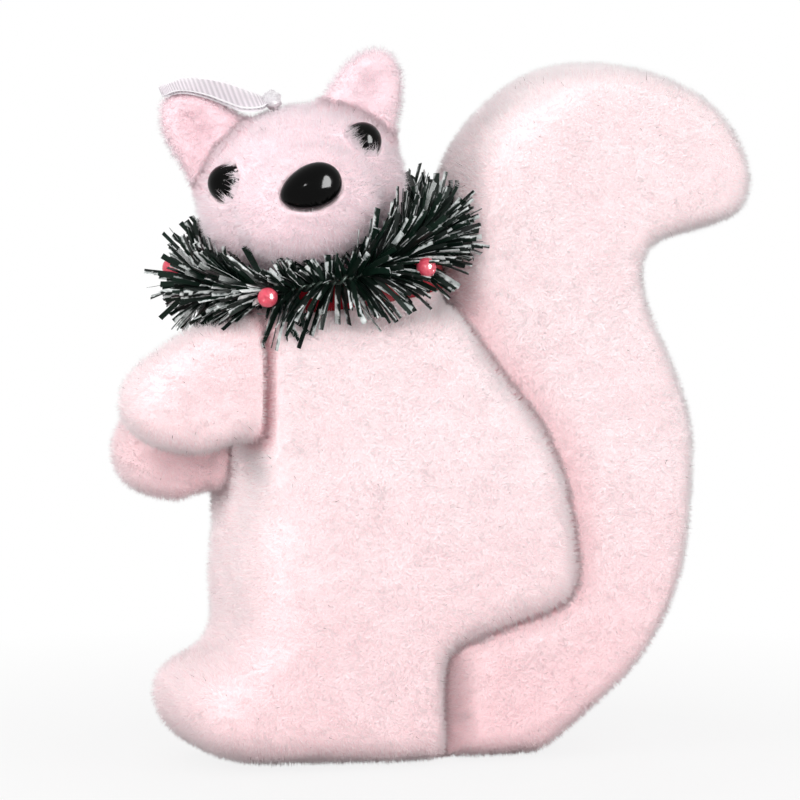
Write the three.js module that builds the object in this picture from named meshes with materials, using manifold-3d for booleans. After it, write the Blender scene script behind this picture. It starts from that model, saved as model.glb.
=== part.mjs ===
// A flocked foam squirrel ornament: slab-cut foam body, tail, arms, head and ears, bead eyes and nose,
// a frosted needle garland with bead berries round the neck, and a ribbon hanging loop on the crown.
// Millimetres. +Z is up, -X is the way the body faces, -Y is the side that faces the viewer.
import * as THREE from 'three';
import { mergeVertices } from 'three/addons/utils/BufferGeometryUtils.js';
import Module from 'manifold-3d';

const wasm = await Module();
wasm.setup();

const RAD = Math.PI / 180;
const GAP = 0.3; // glue line, or running clearance, between two pieces
const OUTLINE_BOW = 1e-8;

// Torso slab
const TORSO_THICK = 42;
const TORSO_EDGE = 12; // how far its rounded edge reaches into the thickness
const TORSO_ROUND = 6; // how far its rounded edge reaches in from the outline
const TOE_X = -54;
const SOLE_X = -12; // where the flat sole ends under the belly
const TOE_RISE = 1.5; // how far the sole has risen at the toes
const BELLY_X = -41;
const BACK_X = 27.6;
const BACK_Z = 37; // height of the haunch's rearmost point
const SHOULDER_Z = 91;
const NAPE_X = 2; // where the top of the back ends
const ROOT_X = 0; // front of the tail root on the sole
const ROOT_TOP_Z = 22; // top of the tail root under the haunch
const FOOT_TOP_Z = 24;

// Tail slab
const TAIL_THICK = 31;
const TAIL_EDGE = 11;
const TAIL_ROUND = 4.6;
const TAIL_TUCK = 1.7; // how far its outline runs inside the back of the torso, which it is cut to
const TAIL_SPREAD = 0.22; // how much thicker the root is than the curl
const TAIL_HEEL_X = 19.8; // where its flat sole ends behind
const TAIL_BACK_X = 54.2;
const TAIL_TIP_X = 66.8;
const TAIL_TOP_Z = 137.8;
const TAIL_FRONT_X = 4;
const TAIL_NECK_X = 43.2; // the hollow of the S behind

// Arms
const ARM_ROOT_X = -39.5;
const ARM_SPACE = 4; // between the two arms
const ARM_EDGE = 7;
const ARM_ROUND = 5.4;
const NEAR_ARM_LONG = 27.2;
const FAR_ARM_LONG = 22;
const ARM_TALL = 24;
const ARM_LOW_SPACE = 2; // open between the far arm and the belly under it
const NEAR_ARM_DROP = 14; // from the shoulders to the arm's middle
const FAR_ARM_DROP = 25.6;
const NEAR_ARM_Z = SHOULDER_Z - NEAR_ARM_DROP;
const FAR_ARM_Z = SHOULDER_Z - FAR_ARM_DROP;
const GROOVE_WIDE = 2.2; // carved line at the root of each arm
const GROOVE_DEEP = 3;

// Neck, collar and garland
const NECK_X = -17.5;
const NECK_WIDE = 40;
const NECK_DEEP = 31;
const NECK_RISE = 7; // above the shoulders
const NECK_ROLL = 7;
const NECK_SINK = 14;
const COLLAR_THICK = 0.9;
const COLLAR_TALL = 6;
const COLLAR_UP = 0.4; // clear of the shoulders
const GARLAND_X = -22.4;
const GARLAND_UP = 10; // ring's middle over the shoulders
const GARLAND_Z = SHOULDER_Z + GARLAND_UP;
const GARLAND_RX = 23.8;
const GARLAND_RY = 24;
const GARLAND_ROLL = 15.5;
const GARLAND_PITCH = 7;
const CORE_R = 1.5;
const NEEDLE_LONG = 9;
const NEEDLE_LEAN = 38; // along the core, away from the front, at the ring's two sides
const NEEDLE_CLEAR = 0.6;
const NEEDLE_LOOSE = 3; // degrees that the lean varies
const NEEDLE_WIDE = 0.9;
const NEEDLE_THIN = 0.4;
const NEEDLE_LEAST = 1.2;
const NEEDLE_SPACE = 1.0; // kept clear on each side of a needle
const GARLAND_PARTS = 4;
const STEPS_PER_PART = 24;
const CORE_SIDES = 8;
const BERRY_R = 1.95;
const BERRY_OUT = 6.6; // from the core's middle to the berry's middle
const WIRE_R = 0.35;

// Head, ears, beads
const HEAD_X = -26;
const HEAD_UP = 21.8; // head's middle over the shoulders
const HEAD_Z = SHOULDER_Z + HEAD_UP;
const HEAD_YAW = -15;
const HEAD_ROLL = -17;
const HEAD_WIDE = 42;
const HEAD_DEEP = 40;
const HEAD_TALL = 35;
const MUZZLE_WIDE = 30;
const MUZZLE_DEEP = 26;
const MUZZLE_TALL = 25;
const MUZZLE_OUT = 13; // muzzle's middle in front of the head's
const MUZZLE_DROP = 1.5;
const EAR_LONG = 15;
const EAR_OUT = 13.9; // sideways from the head's middle to the ear's root
const EAR_ASIDE = 0.8; // both ears to the right of that
const EAR_DOWN = 6.1; // from the crown to the ears' roots
const EAR_BACK = 0;
const EAR_SPLAY = 29;
const EAR_TURN = 6; // both ears lean this much to the right besides
const EAR_STEP = 1.0; // how much higher up the head the left ear sits
const CUP_DEEP = 1.6;
const EAR_WIDE = 14.2;
const EAR_THICK = 7;
const EAR_ROUND = 2.6;
const EYE_R = 3.75;
const EYE_OUT = 14.8; // sideways from the head's middle
const EYE_UP = 7.6;
const EYE_SINK = 0.35; // share of its radius below the skull
const NOSE_WIDE = 12.4;
const NOSE_TALL = 8.7;
const NOSE_DEEP = 8;
const NOSE_EGG = 0.3; // how much taller one end is
const NOSE_OUT = 25; // nose's middle in front of the head's
const NOSE_UP = 2.2; // above the head's middle
const NOSE_ASIDE = 0.8; // to the right of it
const NOSE_TILT = 5;
const STEM_R = 0.9;
const STEM_LONG = 8;

// Pegs
const NECK_PEG_R = 2.5;
const NECK_PEG_LONG = 36;
const TAIL_PEG_R = 2;
const TAIL_PEG_LONG = 26;
const TAIL_PEG_X = BACK_X - 2;
const TAIL_PEG_Z = [44, 62];
const ARM_PEG_R = 1.5;
const ARM_PEG_LONG = 20;

// Hanging loop
const RIBBON_WIDE = 10;
const RIBBON_THICK = 0.5;
const LOOP_LONG = 20.8; // from the knot's middle to its far end
const LOOP_RISE = 8.8; // of its highest point above the knot's middle
const LOOP_OPEN = 0.4; // widest space between its two strands
const LOOP_TILT = 9; // the far selvedge stands higher than the near one
const KNOT_R = 1.9;
const KNOT_LONG = 9;
const KNOT_BACK = 1.5; // behind the head's middle
const PIN_R = 0.5;
const PIN_LONG = 12;

const material = (color, roughness, metalness = 0) =>
  new THREE.MeshStandardMaterial({ color, roughness, metalness });
const flock = material(0xf6ccd2, 1);
const gloss = material(0x060606, 0.12);
const wood = material(0xc9a774, 0.8);
const wire = material(0x2f3a33, 0.5, 0.7);
const needle = material(0x1e3527, 0.6);
const pearl = material(0xd8485f, 0.25);
const burgundy = material(0x7c1020, 0.7);
const organza = material(0xf4f2f2, 0.6);
const steel = material(0xb0b0b0, 0.3, 1);

function solid(geometry) {
  const bare = geometry.clone();
  bare.deleteAttribute('normal');
  bare.deleteAttribute('uv');
  const merged = mergeVertices(bare, 1e-4);
  return new wasm.Manifold(new wasm.Mesh({
    numProp: 3,
    vertProperties: new Float32Array(merged.attributes.position.array),
    triVerts: new Uint32Array(merged.index.array),
  }));
}

function shell(body) {
  const mesh = body.getMesh();
  const geometry = new THREE.BufferGeometry();
  geometry.setAttribute('position', new THREE.BufferAttribute(mesh.vertProperties, 3));
  geometry.setIndex(new THREE.BufferAttribute(mesh.triVerts, 1));
  geometry.computeVertexNormals();
  return geometry;
}

function named(name, geometry, look) {
  const mesh = new THREE.Mesh(geometry, look);
  mesh.name = name;
  return mesh;
}

const point = ([x, z]) => new THREE.Vector2(x, z);

// A bow of a few thousandths at most, so that no three neighbours in an outline are in one line
const bow = ({ x, y }) => new THREE.Vector2(x * (1 + OUTLINE_BOW * y * y), y * (1 + OUTLINE_BOW * x * x));

// A slab lying along the picture plane, with an elliptical edge all round. grow enlarges it all over.
function slab(shape, { thick, edge, round, y = 0, grow = 0, segments = 2 }) {
  const outline = new THREE.Shape(shape.getPoints(segments).map(bow));
  const geometry = new THREE.ExtrudeGeometry(outline, {
    depth: thick - 2 * edge,
    bevelEnabled: true,
    bevelThickness: edge + grow,
    bevelSize: round,
    bevelOffset: grow - round,
    bevelSegments: 4,
    steps: 1,
  });
  geometry.translate(0, 0, -(thick - 2 * edge) / 2);
  geometry.rotateX(Math.PI / 2);
  geometry.translate(0, y, 0);
  return geometry;
}

function block(x0, x1, y0, y1, z0, z1) {
  const geometry = new THREE.BoxGeometry(x1 - x0, y1 - y0, z1 - z0);
  geometry.translate((x0 + x1) / 2, (y0 + y1) / 2, (z0 + z1) / 2);
  return geometry;
}

function ball(wide, deep, tall, columns = 24, rows = 16) {
  const geometry = new THREE.SphereGeometry(0.5, columns, rows);
  geometry.rotateX(Math.PI / 2);
  geometry.scale(wide, deep, tall);
  return geometry;
}

// A round bar between two points.
function bar(from, to, radius, sides = 12) {
  const along = new THREE.Vector3().subVectors(to, from);
  const geometry = new THREE.CylinderGeometry(radius, radius, along.length(), sides);
  geometry.translate(0, along.length() / 2, 0);
  const turn = new THREE.Quaternion().setFromUnitVectors(new THREE.Vector3(0, 1, 0), along.normalize());
  geometry.applyQuaternion(turn);
  geometry.translate(from.x, from.y, from.z);
  return geometry;
}

// Outlines

// The line down the back and under the haunch, which the tail follows. tuck moves it into the torso.
function backLine(tuck = 0) {
  const back = (share) => BACK_Z + (SHOULDER_Z - BACK_Z) * share - tuck / 2;
  const haunch = (share) => ROOT_TOP_Z + (BACK_Z - ROOT_TOP_Z) * share + tuck;
  const nape = (share) => NAPE_X + (BACK_X - NAPE_X) * share - tuck;
  const seat = (share) => ROOT_X + (BACK_X - ROOT_X) * share - tuck / 2;
  return [
    [nape(0.16), back(0.87)],
    [nape(0.4), back(0.72)],
    [nape(0.68), back(0.555)],
    [nape(0.86), back(0.37)],
    [nape(0.96), back(0.185)],
    [BACK_X - tuck, BACK_Z],
    [seat(0.95), haunch(0.67)],
    [seat(0.8), haunch(0.47)],
    [seat(0.5), haunch(0.3)],
  ];
}

function torsoShape() {
  const foot = (share) => FOOT_TOP_Z * share;
  const toe = (share) => TOE_X + (SOLE_X - TOE_X) * share;
  const seat = (share) => ROOT_X + (BACK_X - ROOT_X) * share;
  const armLow = FAR_ARM_Z - ARM_TALL / 2;
  const belly = (share) => FOOT_TOP_Z + (armLow - FOOT_TOP_Z) * share;
  const shape = new THREE.Shape();
  shape.moveTo(SOLE_X, 0);
  shape.splineThru([
    [toe(0.64), TOE_RISE * 0.45],
    [toe(0.42), TOE_RISE * 0.75],
    [toe(0.28), TOE_RISE],
    [toe(0.105), foot(0.185)],
    [toe(0.015), foot(0.44)],
    [toe(0.015), foot(0.67)],
    [toe(0.11), foot(0.83)],
    [toe(0.225), foot(0.93)],
    [BELLY_X, belly(0.07)],
    [BELLY_X - 0.7, belly(0.36)],
    [BELLY_X, belly(0.72)],
    [BELLY_X + 1, armLow - ARM_LOW_SPACE],
  ].map(point));
  shape.lineTo(ARM_ROOT_X - ARM_TALL / 2, FAR_ARM_Z - ARM_TALL / 4);
  shape.lineTo(ARM_ROOT_X - ARM_TALL / 2, SHOULDER_Z - 0.5);
  shape.lineTo(NAPE_X, SHOULDER_Z);
  shape.splineThru([
    ...backLine(),
    [seat(0.27), ROOT_TOP_Z * 1.11],
    [seat(0.03), ROOT_TOP_Z],
    [seat(-0.03), ROOT_TOP_Z * 0.84],
  ].map(point));
  shape.lineTo(ROOT_X, 0);
  shape.closePath();
  return shape;
}

function tailShape() {
  const low = (share) => SHOULDER_Z * share;
  const curl = (share) => SHOULDER_Z + (TAIL_TOP_Z - SHOULDER_Z) * share;
  const heel = (share) => TAIL_HEEL_X + (TAIL_BACK_X - TAIL_HEEL_X) * share;
  const hook = (share) => TAIL_NECK_X + (TAIL_TIP_X - TAIL_NECK_X) * share;
  const crest = (share) => TAIL_FRONT_X + (TAIL_TIP_X - TAIL_FRONT_X) * share;
  const shape = new THREE.Shape();
  shape.moveTo(ROOT_X + GAP, 0);
  shape.lineTo(TAIL_HEEL_X, 0);
  shape.splineThru([
    [heel(0.39), low(0.109)],
    [heel(0.71), low(0.232)],
    [heel(0.925), low(0.407)],
    [heel(0.995), low(0.588)],
    [heel(0.995), low(0.72)],
    [heel(0.9), low(0.835)],
    [hook(0.1), low(0.965)],
    [TAIL_NECK_X, curl(0.1)],
    [hook(0.05), curl(0.2)],
    [hook(0.21), curl(0.255)],
    [hook(0.52), curl(0.29)],
    [hook(0.83), curl(0.33)],
    [hook(0.985), curl(0.415)],
    [TAIL_TIP_X, curl(0.545)],
    [hook(0.85), curl(0.73)],
    [hook(0.53), curl(0.88)],
    [crest(0.66), curl(0.97)],
    [crest(0.475), curl(1)],
    [crest(0.325), curl(0.958)],
    [crest(0.195), curl(0.847)],
    [crest(0.075), curl(0.67)],
    [crest(0.01), curl(0.46)],
    [TAIL_FRONT_X, curl(0.24)],
    [TAIL_FRONT_X, SHOULDER_Z],
  ].map(point));
  shape.splineThru(backLine(TAIL_TUCK).map(point));
  shape.lineTo(ROOT_X + GAP, ROOT_TOP_Z + TAIL_TUCK);
  shape.closePath();
  return shape;
}

// An arm, paw forward, with its root on ARM_ROOT_X and its middle at height z
function armShape(long, z) {
  const high = (share) => z + ARM_TALL * share;
  const out = (share) => ARM_ROOT_X - long * share;
  const shape = new THREE.Shape();
  shape.moveTo(out(-0.4), high(0.52));
  shape.splineThru([
    [out(0.28), high(0.49)],
    [out(0.62), high(0.33)],
    [out(0.87), high(0.13)],
    [out(0.99), high(-0.1)],
    [out(0.97), high(-0.3)],
    [out(0.82), high(-0.48)],
    [out(0.45), high(-0.58)],
    [out(0.15), high(-0.48)],
    [out(-0.4), high(-0.46)],
  ].map(point));
  shape.closePath();
  return shape;
}

// An ear, standing on its base at the origin
function earShape() {
  const wide = (share) => EAR_WIDE * share;
  const high = (share) => EAR_LONG * share;
  const shape = new THREE.Shape();
  shape.moveTo(wide(-0.56), high(-0.24));
  shape.splineThru([
    [wide(-0.5), high(0.3)],
    [wide(-0.36), high(0.72)],
    [wide(-0.08), high(0.98)],
    [wide(0.2), high(0.95)],
    [wide(0.42), high(0.65)],
    [wide(0.5), high(0.25)],
    [wide(0.56), high(-0.24)],
  ].map(point));
  shape.closePath();
  return shape;
}

const root = new THREE.Group();

// Where the torso, tail and arms meet
const armThick = (TORSO_THICK - ARM_SPACE) / 2;
const armY = (ARM_SPACE + armThick) / 2;
const torsoStyle = { thick: TORSO_THICK, edge: TORSO_EDGE, round: TORSO_ROUND };
const arms = [
  { side: 'near', y: -armY, z: NEAR_ARM_Z, long: NEAR_ARM_LONG },
  { side: 'far', y: armY, z: FAR_ARM_Z, long: FAR_ARM_LONG },
];

// Neck frame: the neck stub and the collar lean together
const neckPlace = new THREE.Matrix4().makeRotationY(-NECK_ROLL * RAD).setPosition(NECK_X, 0, SHOULDER_Z);

function neckStub(grow = 0) {
  const high = NECK_RISE + grow;
  const profile = [
    [0, -NECK_SINK],
    [0.5, -NECK_SINK],
    [0.5, high - 2],
    [0.46, high - 0.6],
    [0.36, high],
    [0, high],
  ].map(point);
  const geometry = new THREE.LatheGeometry(profile, 28);
  geometry.rotateX(Math.PI / 2);
  geometry.scale(NECK_WIDE + 2 * grow, NECK_DEEP + 2 * grow, 1);
  geometry.applyMatrix4(neckPlace);
  return geometry;
}

function collarBand(grow = 0) {
  const inner = GAP - grow;
  const outer = GAP + COLLAR_THICK + grow;
  const low = COLLAR_UP - grow;
  const high = COLLAR_UP + COLLAR_TALL + grow;
  const place = (angle, out, z) => new THREE.Vector3(
    (NECK_WIDE / 2 + out) * Math.cos(angle), (NECK_DEEP / 2 + out) * Math.sin(angle), z);
  const count = 32;
  return loopBand(count, (i) => {
    const angle = (i / count) * 2 * Math.PI;
    return [
      place(angle, inner, low), place(angle, outer, low),
      place(angle, outer, high), place(angle, inner, high),
    ];
  }).applyMatrix4(neckPlace);
}

// A closed ring through count stations, with the corner points that section(i) gives at each.
function loopBand(count, section) {
  const rings = Array.from({ length: count }, (_, i) => section(i));
  const corners = rings[0].length;
  const positions = rings.flat().flatMap((p) => [p.x, p.y, p.z]);
  const index = [];
  for (let i = 0; i < count; i++) {
    const next = (i + 1) % count;
    for (let j = 0; j < corners; j++) {
      const k = (j + 1) % corners;
      const [a, b, c, d] = [i * corners + j, next * corners + j, next * corners + k, i * corners + k];
      index.push(a, b, c, a, c, d);
    }
  }
  const geometry = new THREE.BufferGeometry();
  geometry.setAttribute('position', new THREE.Float32BufferAttribute(positions, 3));
  geometry.setIndex(index);
  geometry.computeVertexNormals();
  return geometry;
}

const pegPoint = (x, y, z) => new THREE.Vector3(x, y, z);
const neckPeg = (grow) => bar(
  pegPoint(NECK_X, 0, SHOULDER_Z + NECK_RISE - NECK_PEG_LONG / 2 - grow),
  pegPoint(NECK_X, 0, SHOULDER_Z + NECK_RISE + NECK_PEG_LONG / 2 + grow), NECK_PEG_R + grow);
const tailPeg = (z, grow) => bar(
  pegPoint(TAIL_PEG_X - TAIL_PEG_LONG / 2 - grow, 0, z),
  pegPoint(TAIL_PEG_X + TAIL_PEG_LONG / 2 + grow, 0, z), TAIL_PEG_R + grow);
const armPeg = (arm, grow) => bar(
  pegPoint(ARM_ROOT_X - ARM_PEG_LONG / 2 - grow, arm.y, arm.z),
  pegPoint(ARM_ROOT_X + ARM_PEG_LONG / 2 + grow, arm.y, arm.z), ARM_PEG_R + grow);

// Torso
let torso = solid(slab(torsoShape(), torsoStyle))
  .subtract(solid(block(TOE_X - ARM_TALL, ARM_ROOT_X + GAP / 2, -TORSO_THICK, TORSO_THICK,
    FAR_ARM_Z - ARM_TALL / 2 - ARM_LOW_SPACE, SHOULDER_Z + ARM_TALL)))
  .add(solid(neckStub()))
  .subtract(solid(collarBand(GAP)))
  .subtract(solid(neckPeg(GAP)));
for (const z of TAIL_PEG_Z) {
  torso = torso.subtract(solid(tailPeg(z, GAP)));
}
for (const arm of arms) {
  torso = torso.subtract(solid(armPeg(arm, GAP)));
}

// The carved line at each arm's root
function armGroove(arm) {
  const face = Math.sign(arm.y) * TORSO_THICK / 2;
  const [y0, y1] = [face - GROOVE_DEEP, face + GROOVE_DEEP];
  return block(ARM_ROOT_X - GROOVE_WIDE / 2, ARM_ROOT_X + GROOVE_WIDE / 2, y0, y1,
    arm.z - ARM_TALL / 2 - GROOVE_DEEP, SHOULDER_Z + GROOVE_DEEP);
}
for (const arm of arms) {
  torso = torso.subtract(solid(armGroove(arm)));
}
root.add(named('torso', shell(torso), flock));

// Tail
function spread(geometry) {
  const at = geometry.attributes.position;
  for (let i = 0; i < at.count; i++) {
    const low = 1 - THREE.MathUtils.smoothstep(at.getZ(i), 15, 75);
    at.setY(i, at.getY(i) * (1 + TAIL_SPREAD * low));
  }
  return geometry;
}
let tail = solid(spread(slab(tailShape(), { thick: TAIL_THICK, edge: TAIL_EDGE, round: TAIL_ROUND })))
  .subtract(solid(slab(torsoShape(), { ...torsoStyle, grow: GAP })));
for (const z of TAIL_PEG_Z) {
  tail = tail.subtract(solid(tailPeg(z, GAP)));
  root.add(named(`tail_peg_${TAIL_PEG_Z.indexOf(z) + 1}`, tailPeg(z, 0), wood));
}
root.add(named('tail', shell(tail), flock));

// Arms
for (const arm of arms) {
  const style = { thick: armThick, edge: ARM_EDGE, round: ARM_ROUND, y: arm.y };
  const body = solid(slab(armShape(arm.long, arm.z), style))
    .subtract(solid(block(ARM_ROOT_X - GAP / 2, BACK_X, -TORSO_THICK, TORSO_THICK,
      arm.z - ARM_TALL, arm.z + ARM_TALL)))
    .subtract(solid(armGroove(arm)))
    .subtract(solid(armPeg(arm, GAP)));
  root.add(named(`${arm.side}_arm`, shell(body), flock));
  root.add(named(`${arm.side}_arm_peg`, armPeg(arm, 0), wood));
}
root.add(named('neck_peg', neckPeg(0), wood));
root.add(named('collar', collarBand(), burgundy));

// Head. Its own frame looks along -Y with +Z through the crown.
const turned = new THREE.Group();
turned.position.set(HEAD_X, 0, HEAD_Z);
turned.rotation.z = HEAD_YAW * RAD;
const headGroup = new THREE.Group();
headGroup.rotation.y = HEAD_ROLL * RAD;
turned.add(headGroup);
root.add(turned);
root.updateMatrixWorld(true);
const intoHead = headGroup.matrixWorld.clone().invert();

function headForm(grow = 0) {
  const skull = solid(ball(HEAD_WIDE + 2 * grow, HEAD_DEEP + 2 * grow, HEAD_TALL + 2 * grow, 28, 18));
  const muzzle = ball(MUZZLE_WIDE + 2 * grow, MUZZLE_DEEP + 2 * grow, MUZZLE_TALL + 2 * grow, 20, 14);
  return skull.add(solid(muzzle.translate(0, -MUZZLE_OUT, -MUZZLE_DROP)));
}

// The outer face of the skull above, or in front of, a place on it
const squared = (x, wide) => (2 * x / wide) ** 2;
const skullTop = (x, y) => (HEAD_TALL / 2) * Math.sqrt(1 - squared(x, HEAD_WIDE) - squared(y, HEAD_DEEP));
const skullFront = (x, z) => (-HEAD_DEEP / 2) * Math.sqrt(1 - squared(x, HEAD_WIDE) - squared(z, HEAD_TALL));

// Bead eyes, each on a stem pushed square into the skull
function eye(side, grow = 0) {
  const x = side * EYE_OUT;
  const y = skullFront(x, EYE_UP);
  const out = new THREE.Vector3(x / HEAD_WIDE ** 2, y / HEAD_DEEP ** 2, EYE_UP / HEAD_TALL ** 2).normalize();
  const middle = new THREE.Vector3(x, y, EYE_UP).addScaledVector(out, -EYE_R * EYE_SINK);
  const bead = ball(2 * (EYE_R + grow), 2 * (EYE_R + grow), 2 * (EYE_R + grow), 16, 10);
  const end = middle.clone().addScaledVector(out, -EYE_R - STEM_LONG - grow);
  return solid(bead.translate(middle.x, middle.y, middle.z)).add(solid(bar(end, middle, STEM_R + grow, 8)));
}

// Egg-shaped bead nose, broad end to the right, on its stem
function nose(grow = 0) {
  const bead = ball(NOSE_WIDE + 2 * grow, NOSE_DEEP + 2 * grow, NOSE_TALL + 2 * grow, 20, 12);
  const at = bead.attributes.position;
  for (let i = 0; i < at.count; i++) {
    const swell = 1 + NOSE_EGG * (at.getX(i) / NOSE_WIDE);
    at.setZ(i, at.getZ(i) * swell);
  }
  bead.rotateY(-NOSE_TILT * RAD);
  const middle = new THREE.Vector3(NOSE_ASIDE, -NOSE_OUT, NOSE_UP);
  const end = middle.clone().setY(-NOSE_OUT + NOSE_DEEP / 2 + STEM_LONG + grow);
  return solid(bead.translate(middle.x, middle.y, middle.z)).add(solid(bar(end, middle, STEM_R + grow, 8)));
}

// Ears, cut to the skull
function ear(side) {
  const blank = slab(earShape(), { thick: EAR_THICK, edge: EAR_THICK * 0.4, round: EAR_ROUND });
  const cup = ball(EAR_WIDE * 0.6, 4 * CUP_DEEP, EAR_LONG * 0.8, 16, 12);
  cup.translate(0, -EAR_THICK / 2 - CUP_DEEP, EAR_LONG * 0.45);
  const place = new THREE.Matrix4().makeRotationY((side * EAR_SPLAY + EAR_TURN) * RAD)
    .setPosition(side * EAR_OUT + EAR_ASIDE, EAR_BACK, HEAD_TALL / 2 - EAR_DOWN - side * EAR_STEP);
  const mirror = new THREE.Matrix4().makeScale(side, 1, 1);
  return solid(blank).subtract(solid(cup))
    .transform(mirror.toArray())
    .transform(place.toArray())
    .subtract(headForm(GAP));
}

// Where the loop's knot sits on the crown. Its own Y runs through the knot.
const knotPlace = new THREE.Matrix4().makeRotationX(LOOP_TILT * RAD)
  .setPosition(0, KNOT_BACK, skullTop(0, KNOT_BACK) + KNOT_R);
const knotBall = (grow) => solid(ball(2 * (KNOT_R + grow), KNOT_LONG + 2 * grow, 2 * (KNOT_R + grow), 14, 10)
  .applyMatrix4(knotPlace));
const pin = (grow) => solid(bar(
  new THREE.Vector3(0, 0, KNOT_R * 0.7 - PIN_LONG - grow),
  new THREE.Vector3(0, 0, KNOT_R * 0.7 + grow), PIN_R + grow, 8).applyMatrix4(knotPlace));

let head = headForm()
  .subtract(solid(neckStub(GAP).applyMatrix4(intoHead)))
  .subtract(solid(collarBand(GAP).applyMatrix4(intoHead)))
  .subtract(solid(neckPeg(GAP).applyMatrix4(intoHead)))
  .subtract(nose(GAP))
  .subtract(knotBall(GAP))
  .subtract(pin(GAP));
for (const side of [-1, 1]) {
  head = head.subtract(eye(side, GAP));
}
headGroup.add(named('head', shell(head), flock));
headGroup.add(named('nose', shell(nose()), gloss));
for (const [side, word] of [[-1, 'left'], [1, 'right']]) {
  headGroup.add(named(`${word}_ear`, shell(ear(side)), flock));
  headGroup.add(named(`${word}_eye`, shell(eye(side)), gloss));
}

// The loop: one ribbon, out over the left ear and back
const LOOP_STEPS = 14;
function ribbonLoop() {
  const middle = new THREE.SplineCurve([
    [-KNOT_R - GAP - RIBBON_THICK, KNOT_R + 0.8],
    [-LOOP_LONG * 0.41, LOOP_RISE * 0.74],
    [-LOOP_LONG * 0.72, LOOP_RISE],
    [-LOOP_LONG * 0.904, LOOP_RISE * 0.98],
    [-LOOP_LONG, LOOP_RISE * 0.84],
  ].map(point));
  const strand = (half) => Array.from({ length: LOOP_STEPS + 1 }, (_, i) => {
    const t = i / LOOP_STEPS;
    const at = middle.getPoint(t);
    const along = middle.getTangent(t);
    const open = 0.2 + (LOOP_OPEN / 2) * Math.sin(Math.PI * t);
    return { at, open, side: new THREE.Vector2(half * along.y, -half * along.x) };
  });
  const way = [...strand(1), ...strand(-1).reverse()];
  return loopBand(way.length, (i) => {
    const { at, open, side } = way[i];
    const place = (out, y) => new THREE.Vector3(
      at.x + side.x * (open + out), y, at.y + side.y * (open + out));
    const half = RIBBON_WIDE / 2;
    return [place(0, half), place(RIBBON_THICK, half), place(RIBBON_THICK, -half), place(0, -half)];
  });
}
const crown = new THREE.Group();
crown.applyMatrix4(knotPlace);
crown.add(named('ribbon_loop', ribbonLoop(), organza));
headGroup.add(crown);
headGroup.add(named('ribbon_knot', shell(knotBall(0).subtract(pin(GAP))), organza));
headGroup.add(named('loop_pin', shell(pin(0)), steel));

// Garland: a wire core in a leaning ring, in equal arcs, with needles all round
const ringX = new THREE.Vector3(Math.cos(GARLAND_ROLL * RAD), 0, Math.sin(GARLAND_ROLL * RAD));
const ringY = new THREE.Vector3(0, Math.cos(GARLAND_PITCH * RAD), Math.sin(GARLAND_PITCH * RAD));

function ringFrame(angle) {
  const at = new THREE.Vector3(GARLAND_X, 0, GARLAND_Z)
    .addScaledVector(ringX, GARLAND_RX * Math.cos(angle))
    .addScaledVector(ringY, GARLAND_RY * Math.sin(angle));
  const along = new THREE.Vector3()
    .addScaledVector(ringX, -GARLAND_RX * Math.sin(angle))
    .addScaledVector(ringY, GARLAND_RY * Math.cos(angle)).normalize();
  const up = new THREE.Vector3().crossVectors(ringX, ringY).normalize();
  const out = new THREE.Vector3().crossVectors(along, up);
  return { at, along, up, out, side: Math.cos(angle) };
}

// From the core's middle outwards, at an angle round the core
const fromCore = (frame, turn) => new THREE.Vector3()
  .addScaledVector(frame.out, Math.cos(turn)).addScaledVector(frame.up, Math.sin(turn));

// Berries: angle along the ring, and angle round the core, in degrees
const BERRIES = [[-129, 9], [-65.5, -15], [152, 20], [118, 25], [38, 15]];
const berries = BERRIES.map(([angle, turn], i) => {
  const frame = ringFrame(angle * RAD);
  const way = fromCore(frame, turn * RAD);
  const from = frame.at.clone().addScaledVector(way, CORE_R + GAP);
  const to = frame.at.clone().addScaledVector(way, BERRY_OUT - BERRY_R - GAP);
  return { number: i + 1, middle: frame.at.clone().addScaledVector(way, BERRY_OUT), from, to };
});
for (const berry of berries) {
  const bead = ball(2 * BERRY_R, 2 * BERRY_R, 2 * BERRY_R, 12, 8);
  const mesh = named(`berry_${berry.number}`, bead, pearl);
  mesh.position.copy(berry.middle);
  root.add(mesh);
  root.add(named(`berry_wire_${berry.number}`, bar(berry.from, berry.to, WIRE_R, 6), wire));
}

// How far a needle can run from its root before it would come to a piece
root.updateMatrixWorld(true);
const blockers = ['torso', 'tail', 'head', 'near_arm', 'far_arm', 'collar', 'left_ear', 'right_ear']
  .map((name) => root.getObjectByName(name));
const caster = new THREE.Raycaster();
function reach(from, way, wide) {
  const across = new THREE.Vector3().crossVectors(way, new THREE.Vector3(0.3, 0.5, 0.8)).normalize();
  const other = new THREE.Vector3().crossVectors(way, across);
  let free = NEEDLE_LONG;
  for (const [a, b] of [[0, 0], [wide, 0], [-wide, 0], [0, wide], [0, -wide]]) {
    const start = from.clone().addScaledVector(across, a).addScaledVector(other, b);
    caster.set(start, way);
    caster.far = NEEDLE_LONG + NEEDLE_CLEAR;
    const hit = caster.intersectObjects(blockers, false)[0];
    if (hit) {
      free = Math.min(free, hit.distance - NEEDLE_CLEAR);
    }
  }
  for (const berry of berries) {
    const stalk = new THREE.Line3(berry.from, berry.to);
    for (let d = 0; d <= free; d += 0.4) {
      const here = from.clone().addScaledVector(way, d);
      const near = stalk.closestPointToPoint(here, true, new THREE.Vector3()).distanceTo(here);
      if (near < NEEDLE_SPACE + WIRE_R || here.distanceTo(berry.middle) < NEEDLE_SPACE + BERRY_R) {
        return 0;
      }
    }
  }
  return free;
}

// Steady scatter between -1 and 1, the same each time
const scatter = (i) => 2 * ((Math.sin(i * 12.9898) * 43758.5453) % 1 + 1) % 2 - 1;

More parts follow.
